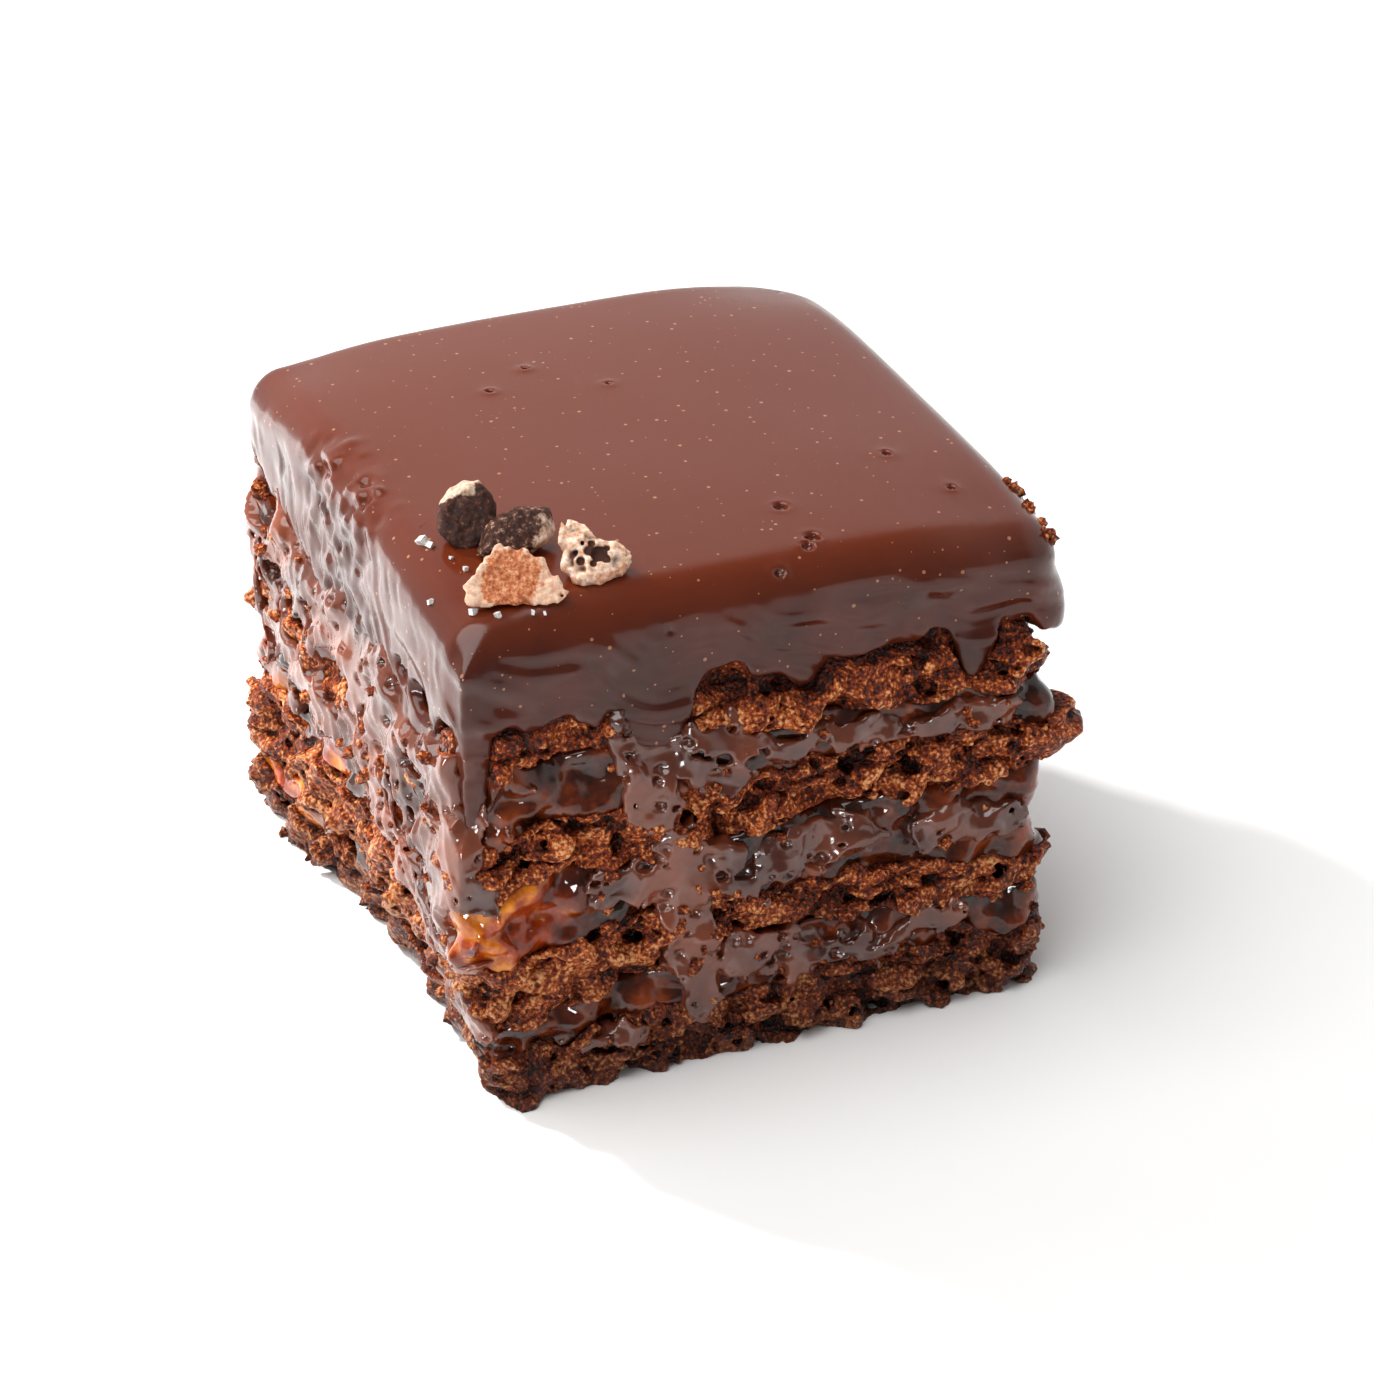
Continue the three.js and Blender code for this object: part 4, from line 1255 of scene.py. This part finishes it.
def jam_material():
    material, tree, shader, place = new_material("cooked apricot jam")
    cloud = add_node(tree, "TexNoise", {
        "Vector": place, "Scale": 1 / JAM_CLOUD, "Detail": 4.0, "Roughness": 0.6})
    stained = add_node(tree, "ValToRGB", {"Fac": (cloud, "Fac")}, stops=JAM_STAINED)
    clear = add_node(tree, "ValToRGB", {"Fac": (cloud, "Fac")}, stops=JAM_CLEAR_AND_LIT)
    # Painted light: the lit spots blend in the bright clear ramp.
    base = add_node(tree, "Mix", {"Factor": add_nearness(tree, place, JAM_LIT_SPOTS),
                                  "A": (stained, "Color"), "B": (clear, "Color")}, COLOUR_MIX)
    pulp = add_node(tree, "TexNoise", {"Vector": place, "Scale": 1 / PULP_SIZE, "Detail": 1.0})
    bump = add_node(tree, "Bump", {"Height": (pulp, "Fac"), "Strength": 0.5, "Distance": 0.4 * MM})
    fill_inputs(tree, shader, {
        "Base Color": (base, "Result"), "Normal": (bump, "Normal"), "Roughness": 0.08, "IOR": 1.5,
        "Subsurface Weight": 0.35, "Subsurface Scale": 1.2 * MM,
        "Subsurface Radius": (1.0, 0.4, 0.1)})
    return material


apricot_jam = jam_material()
print("the jam is amber near", len(JAM_LIT_SPOTS), "spots")

# %% [markdown]
# ### Chocolate sponge
# Baked foam soaked by the jam, and moist, so that the grains shine. Its colour also carries painted
# light: the grains that stand out are painted light brown as if lit, the bubbles nearly black as
# painted shade, the crumb near the foot darker as painted shade with the soaking, and a few spots on
# the left side lighter as painted sunlight with some syrup.
# Grains about 0.3 mm wide are finer than the mesh, so they are drawn as colour and bump.

# %% Sponge colours
CRUMB_GRAIN, CRUMB_CLOUD = 0.3 * MM, 2.2 * MM
# Painted shade with the soaking: below this height the crumb is painted darker towards the floor.
FOOT_SHADE_HEIGHT, FOOT_SHADE_LEVEL = 13 * MM, 0.36  # below this height the crumb gets darker, to this shade
# Painted sunlight with some syrup: lighter, more golden crumb at these spots on the lit left side.
SUNLIT_SYRUP_SPOTS = [(-21, 9, 9, 15), (-20, -22, 8, 8), (-21, -8, 12, 9)]  # x, y, z, reach of lighter crumb
# The ramp runs from painted shade in the bubbles' depths to painted light on the grains' tips.
CRUMB_COLOURS = [  # from the bubbles' depths to the grains' tips
    (0.34, "#1e0803"), (0.49, "#68220a"), (0.61, "#9c4012"), (0.7, "#d46e2e"), (0.82, "#ffbc80"),
]


def add_crumb_colour(tree, place, height, cloud):
    """height is the fine grain, cloud broad patches. The relief paints bubbles darker: painted shade."""
    relief = add_node(tree, "Attribute", {}, {"attribute_name": "relief"})
    # Painted shade: the deeper a point lies in a bubble, the further down the ramp it is moved.
    raised = add_node(tree, "MapRange", {"Value": (relief, "Fac"), "From Min": -0.9,
                                         "From Max": 0.35, "To Min": -0.16, "To Max": 0.1})
    patchy = add_node(tree, "Math", {0: (cloud, "Fac"), 1: 0.5, 2: (raised, "Result")}, MULTIPLY_ADD)
    # Painted sunlight: the spots on the lit left side move the crumb up the ramp.
    syrup_and_sun = add_nearness(tree, place, SUNLIT_SYRUP_SPOTS)
    golden = add_node(tree, "Math", {0: syrup_and_sun, 1: 0.06, 2: (patchy, "Value")}, MULTIPLY_ADD)
    both = add_node(tree, "Math", {0: (height, "Value"), 1: (golden, "Value")}, {"operation": "ADD"})
    crumb = add_node(tree, "ValToRGB", {"Fac": (both, "Value")}, stops=CRUMB_COLOURS)
    # Painted shade with the soaking: the colour is darkened towards the foot.
    parts = add_node(tree, "SeparateXYZ", {"Vector": place})
    foot_shade = add_node(tree, "MapRange", {"Value": (parts, "Z"), "From Max": FOOT_SHADE_HEIGHT,
                                      "To Min": FOOT_SHADE_LEVEL, "To Max": 1.0})
    return add_node(tree, "Mix", {"Factor": 1.0, "A": (crumb, "Color"), "B": (foot_shade, "Result")},
                    {"data_type": "RGBA", "blend_type": "MULTIPLY"})


print(len(CRUMB_COLOURS), "browns in the crumb")

# %% [markdown]
# The grain is noise with the distances to scattered points taken off, which rounds it into tiny
# balls. The same number gives the colour and the bump, so that each tip is also painted lighter, as
# painted light, and each hollow darker, as painted shade.

# %% Sponge material
def sponge_material():
    material, tree, shader, place = new_material("moist chocolate sponge")
    cloud = add_node(tree, "TexNoise", {"Vector": place, "Scale": 1 / CRUMB_CLOUD, "Detail": 3.0})
    grain = add_node(tree, "TexNoise", {
        "Vector": place, "Scale": 1 / CRUMB_GRAIN, "Detail": 3.0, "Roughness": 0.65})
    balls = add_node(tree, "TexVoronoi", {"Vector": place, "Scale": 1 / CRUMB_GRAIN})
    height = add_node(tree, "Math", {0: (balls, "Distance"), 1: -0.35, 2: (grain, "Fac")},
                      MULTIPLY_ADD)
    base = add_crumb_colour(tree, place, height, cloud)
    wet = add_node(tree, "MapRange", {"Value": (cloud, "Fac"), "From Min": 0.35, "From Max": 0.65,
                                      "To Min": 0.16, "To Max": 0.4})
    bump = add_node(tree, "Bump", {
        "Height": (height, "Value"), "Strength": 1.0, "Distance": 0.4 * MM})
    fill_inputs(tree, shader, {
        "Base Color": (base, "Result"), "Roughness": (wet, "Result"), "Normal": (bump, "Normal"),
        "IOR": 1.33})
    return material


chocolate_sponge = sponge_material()
print("made", chocolate_sponge.name)

# %% [markdown]
# ### Roasted nibs
# The bean's inside is dark and matte with pale flecks, its skin is straw-coloured, and where skin
# is torn off a shell its middle is reddish. The colours follow each nib's own place, and the deep
# pits are painted dark, as painted shade, by the stored relief, which says how far below the whole
# form they lie.

# %% Nib material
FLECK_SIZE, TEAR_SIZE, TEAR_REACH = 0.35, 1.1, 2.4  # mm, since a nib's own places are in mm


def nib_material(name, stops, skin, skin_side, skin_level, hollow):
    """stops colour the body by fine flecks, skin covers the side that faces skin_side or, with
    no such side, the rim. hollow is the painted shade in the pits."""
    material, tree, shader, _ = new_material(name)
    own = add_node(tree, "Attribute", {}, {"attribute_name": "own_place"})
    relief = add_node(tree, "Attribute", {}, {"attribute_name": "relief"})
    fleck = add_node(tree, "TexNoise", {
        "Vector": (own, "Vector"), "Scale": 1 / FLECK_SIZE, "Detail": 4.0, "Roughness": 0.7})
    body = add_node(tree, "ValToRGB", {"Fac": (fleck, "Fac")}, stops=stops)
    measure = {"operation": "DOT_PRODUCT" if skin_side else "LENGTH"}
    side = add_node(tree, "VectorMath", {0: (own, "Vector"), 1: skin_side or (0, 0, 0)}, measure)
    tear = add_node(tree, "TexNoise", {
        "Vector": (own, "Vector"), "Scale": 1 / TEAR_SIZE, "Detail": 3.0, "Roughness": 0.7})
    ragged = add_node(tree, "Math", {0: (tear, "Fac"), 1: TEAR_REACH, 2: (side, "Value")},
                      MULTIPLY_ADD)
    cover = add_node(tree, "MapRange", {
        "Value": (ragged, "Value"), "From Min": skin_level + 1.05, "From Max": skin_level + 1.35})
    shades = add_node(tree, "ValToRGB", {"Fac": (fleck, "Fac")},
                      stops=[(0.35, skin[0]), (0.65, skin[1])])
    skinned = add_node(tree, "Mix", {"Factor": (cover, "Result"), "A": (body, "Color"),
                                     "B": (shades, "Color")}, COLOUR_MIX)
    # Painted shade: the deeper below the whole form, the nearer to the hollow colour.
    deep = add_node(tree, "MapRange", {
        "Value": (relief, "Fac"), "From Min": -0.05, "From Max": -0.22})
    pitted = add_node(tree, "Mix", {"Factor": (deep, "Result"), "A": (skinned, "Result"),
                                    "B": linear(hollow)}, COLOUR_MIX)
    bump = add_node(tree, "Bump", {"Height": (fleck, "Fac"), "Strength": 0.6, "Distance": 0.1 * MM})
    fill_inputs(tree, shader, {
        "Base Color": (pitted, "Result"), "Normal": (bump, "Normal"), "Roughness": 0.7, "IOR": 1.4})
    return material


print("flecks about", FLECK_SIZE, "mm wide")

# %% [markdown]
# Four nibs get four finishes from that one recipe: a bean half with skin on its upper left, a chip
# with skin on its lower right, a flat shell whose skin is left round the rim, and a puffed nib.

# %% Nib finishes
# The last colour of each finish is the painted shade in its pits.
NIB_FINISHES = {
    "nib_1": nib_material(
        "roasted cocoa bean half", [(0.42, "#2c130b"), (0.6, "#5a3020"), (0.75, "#a07a64")],
        ("#b88e70", "#f0d8c0"), (-0.6, 0.8, -0.3), 1.35, "#140a07"),
    "nib_2": nib_material(
        "roasted cocoa bean chip", [(0.42, "#2c130b"), (0.56, "#5c3424"), (0.7, "#cfae98")],
        ("#a88068", "#ecd4c0"), (0.75, -0.7, 0.2), 1.75, "#140a07"),
    "nib_3": nib_material(
        "cocoa shell", [(0.35, "#8a3a1a"), (0.5, "#cc7444"), (0.66, "#f0b88c")],
        ("#d89c7c", "#f6d8bc"), None, 2.1, "#7a3418"),
    "nib_4": nib_material(
        "puffed cocoa nib", [(0.3, "#b8764c"), (0.5, "#f0c4a4"), (0.66, "#fff2e6")],
        ("#c47c54", "#f4c8ac"), (0.3, -0.9, -0.3), 1.1, "#4a2412"),
}
print("nib finishes:", ", ".join(finish.name for finish in NIB_FINISHES.values()))

# %% [markdown]
# ### Sugar
# A sugar crystal is clear, but its scratched faces look white at this size, so a faint frost of two
# near-whites stands for both, with the sharp gloss of a broken face.

# %% Sugar material
FROST_SIZE = 0.2 * MM


def sugar_material():
    material, tree, shader, place = new_material("sugar crystal")
    frost = add_node(tree, "TexNoise", {"Vector": place, "Scale": 1 / FROST_SIZE})
    base = add_node(tree, "ValToRGB", {"Fac": (frost, "Fac")},
                    stops=[(0.4, "#d8cfc8"), (0.6, "#ffffff")])
    fill_inputs(tree, shader, {"Base Color": (base, "Color"), "Roughness": 0.15, "IOR": 1.54})
    return material


sugar_crystal = sugar_material()
print("made", sugar_crystal.name)

# %% [markdown]
# ## Dressing the pieces
# Each piece gets its material and is tied to the frame: the body that it rides on and the solids
# that it replaces, if any. The food is one body, so all of it rides on the root.

# %% Each piece's body, node and material
def dress(piece, material, slot, *nodes):
    piece.data.materials.clear()
    piece.data.materials.append(material)
    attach(piece, "root")
    if nodes:
        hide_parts(*nodes)


for name, piece in sponge_pieces.items():
    dress(piece, chocolate_sponge, "sponge", name)
for name, piece in jam_pieces.items():
    dress(piece, apricot_jam, "jam", name)
dress(glaze_cap, set_chocolate, "glaze", "glaze")
dress(glaze_runs, thin_chocolate, "glaze")
for name, piece in nib_pieces.items():
    slot = "nib_dark" if name in DARK_NIBS else "nib_pale"
    dress(piece, NIB_FINISHES[name], slot, name)
dress(sugar, sugar_crystal, "nib_pale")
dress(loose_crumbs, chocolate_sponge, "sponge")
print("dressed", len(sponge_pieces) + len(jam_pieces) + len(nib_pieces) + 4, "pieces")

# %% [markdown]
# ## Floor
# A piece of food this small is shot on white card. The card is much larger than the view, so its
# edge never shows, and it is nearly white rather than white, since no real paper returns all light.

# %% Floor
FLOOR_SIZE = 1.5  # metres
CARD_FIBRE = 30 * MM


def make_floor():
    mesh = bpy.data.meshes.new("floor")
    low, high = -FLOOR_SIZE / 2, FLOOR_SIZE / 2
    corners = [(low, low, 0), (high, low, 0), (high, high, 0), (low, high, 0)]
    mesh.from_pydata(corners, [], [(0, 1, 2, 3)])
    floor = bpy.data.objects.new("floor", mesh)
    bpy.context.collection.objects.link(floor)
    material, tree, shader, place = new_material("white card")
    fibre = add_node(tree, "TexNoise", {"Vector": place, "Scale": 1 / CARD_FIBRE})
    base = add_node(tree, "ValToRGB", {"Fac": (fibre, "Fac")},
                    stops=[(0.3, "#f4f4f3"), (0.7, "#f7f7f6")])
    fill_inputs(tree, shader, {"Base Color": (base, "Color"), "Roughness": 0.9})
    mesh.materials.append(material)
    floor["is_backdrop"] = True
    return floor


floor = make_floor()
print("floor", FLOOR_SIZE, "m wide")

# %% [markdown]
# ## Light
# Glaze shows its surroundings, so each light is placed for what it does there. A wide sun high on
# the left lights everything and leaves one soft shadow on the right. A spot whitens the patch of
# floor that the left side mirrors. A small panel shows only as highlights on the near corner.

# %% Lights
def heading(azimuth, elevation):
    """Direction from the cake. Azimuth 0 is in front, 90 on the right, 180 behind."""
    a, e = math.radians(azimuth), math.radians(elevation)
    return Vector((math.sin(a) * math.cos(e), -math.cos(a) * math.cos(e), math.sin(e)))


def add_light(name, kind, power, place, target):
    """Adds a light that looks from its place at a target, both in metres."""
    data = bpy.data.lights.new(name, kind)
    data.energy = power
    light = bpy.data.objects.new(name, data)
    light.location = Vector(place)
    light.rotation_euler = (Vector(target) - Vector(place)).to_track_quat("-Z", "Y").to_euler()
    bpy.context.collection.objects.link(light)
    return light


CAKE_CENTRE = Vector((0, 0, 0.02))

daylight = add_light("soft_daylight", "SUN", 2.65, heading(-84, 64), (0, 0, 0))
daylight.data.angle = math.radians(58)

panel = add_light("slot_front_left", "AREA", 1.6, CAKE_CENTRE + heading(-42, 10) * 0.6, CAKE_CENTRE)
panel.data.shape = "RECTANGLE"
panel.data.size, panel.data.size_y = 0.2, 0.1
panel.visible_diffuse = False

lamp = add_light("table_lamp_left", "SPOT", 36.0, (-0.3, 0.42, 0.4), (-0.1, 0.12, 0))
lamp.data.spot_size, lamp.data.spot_blend = math.radians(34), 1.0
lamp.data.shadow_soft_size = 0.03
lamp.visible_glossy = False
print("lights:", daylight.name, panel.name, lamp.name)

# %% [markdown]
# The surround is a gradient over the direction of view: bright low down behind the cake, where the
# top of the glaze mirrors it, bright on the right, and dark overhead and in front, which keeps the
# rounded edge deep.

# %% Surround
SURROUND_DARK, SURROUND_BRIGHT = 0.18, 0.78


def make_surround():
    world = bpy.data.worlds.new("studio surround")
    bpy.context.scene.world = world
    world.use_nodes = True
    tree = world.node_tree
    place = add_node(tree, "TexCoord", {})
    parts = add_node(tree, "SeparateXYZ", {"Vector": (place, "Generated")})
    behind = add_node(tree, "MapRange", {
        "Value": (parts, "Y"), "From Min": -0.15, "From Max": 0.5}, SOFT_RANGE)
    low = add_node(tree, "MapRange", {
        "Value": (parts, "Z"), "From Min": 0.95, "From Max": 0.6}, SOFT_RANGE)
    both = add_node(tree, "Math", {0: (behind, "Result"), 1: (low, "Result")},
                    {"operation": "MULTIPLY"})
    right = add_node(tree, "MapRange", {
        "Value": (parts, "X"), "From Min": 0.4, "From Max": 0.75}, SOFT_RANGE)
    lit = add_node(tree, "Math", {0: (both, "Value"), 1: (right, "Result")},
                   {"operation": "MAXIMUM"})
    strength = add_node(tree, "MapRange", {
        "Value": (lit, "Value"), "To Min": SURROUND_DARK, "To Max": SURROUND_BRIGHT})
    fill_inputs(tree, tree.nodes["Background"], {
        "Strength": (strength, "Result"), "Color": linear("#ffffff")})


make_surround()
print("the surround runs from", SURROUND_DARK, "to", SURROUND_BRIGHT)

# %% [markdown]
# ## Camera
# The camera stands where the photograph's did: a long lens near the cake, which looks down on it
# from the front left. The plain view transform keeps the colours as they were mixed.

# %% Camera
CAMERA_PLACE = (-101.71, -255.44, 172.61)  # mm from the block's own middle
CAMERA_AZIMUTH, CAMERA_ELEVATION = -22.46, 29.65
PHOTO_WIDTH, PHOTO_FOCAL = 1374, 4500  # pixels
SENSOR = 36.0

camera_data = bpy.data.cameras.new("photo_camera")
camera_data.sensor_width = SENSOR
camera_data.lens = PHOTO_FOCAL / PHOTO_WIDTH * SENSOR
camera_data.clip_start, camera_data.clip_end = 0.01, 10
camera = bpy.data.objects.new("photo_camera", camera_data)
camera.location = Vector((np.array(CAMERA_PLACE) + BLOCK_MIDDLE) * MM)
view = -heading(CAMERA_AZIMUTH, CAMERA_ELEVATION)
camera.rotation_mode = "QUATERNION"
camera.rotation_quaternion = view.to_track_quat("-Z", "Y")
bpy.context.collection.objects.link(camera)
bpy.context.scene.camera = camera
bpy.context.scene.view_settings.view_transform = "Standard"
print(f"lens {camera_data.lens:.1f} mm")

# %% [markdown]
# ## Size
# The dressed cake has to fill the same box as the model that it stands on.

# %% The size table and the end
visual_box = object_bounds()
for side, cad, seen in zip(("low", "high"), cad_box, visual_box):
    print(side, "grows by", [round((s - c) / MM, 2) for c, s in zip(cad, seen)], "mm")
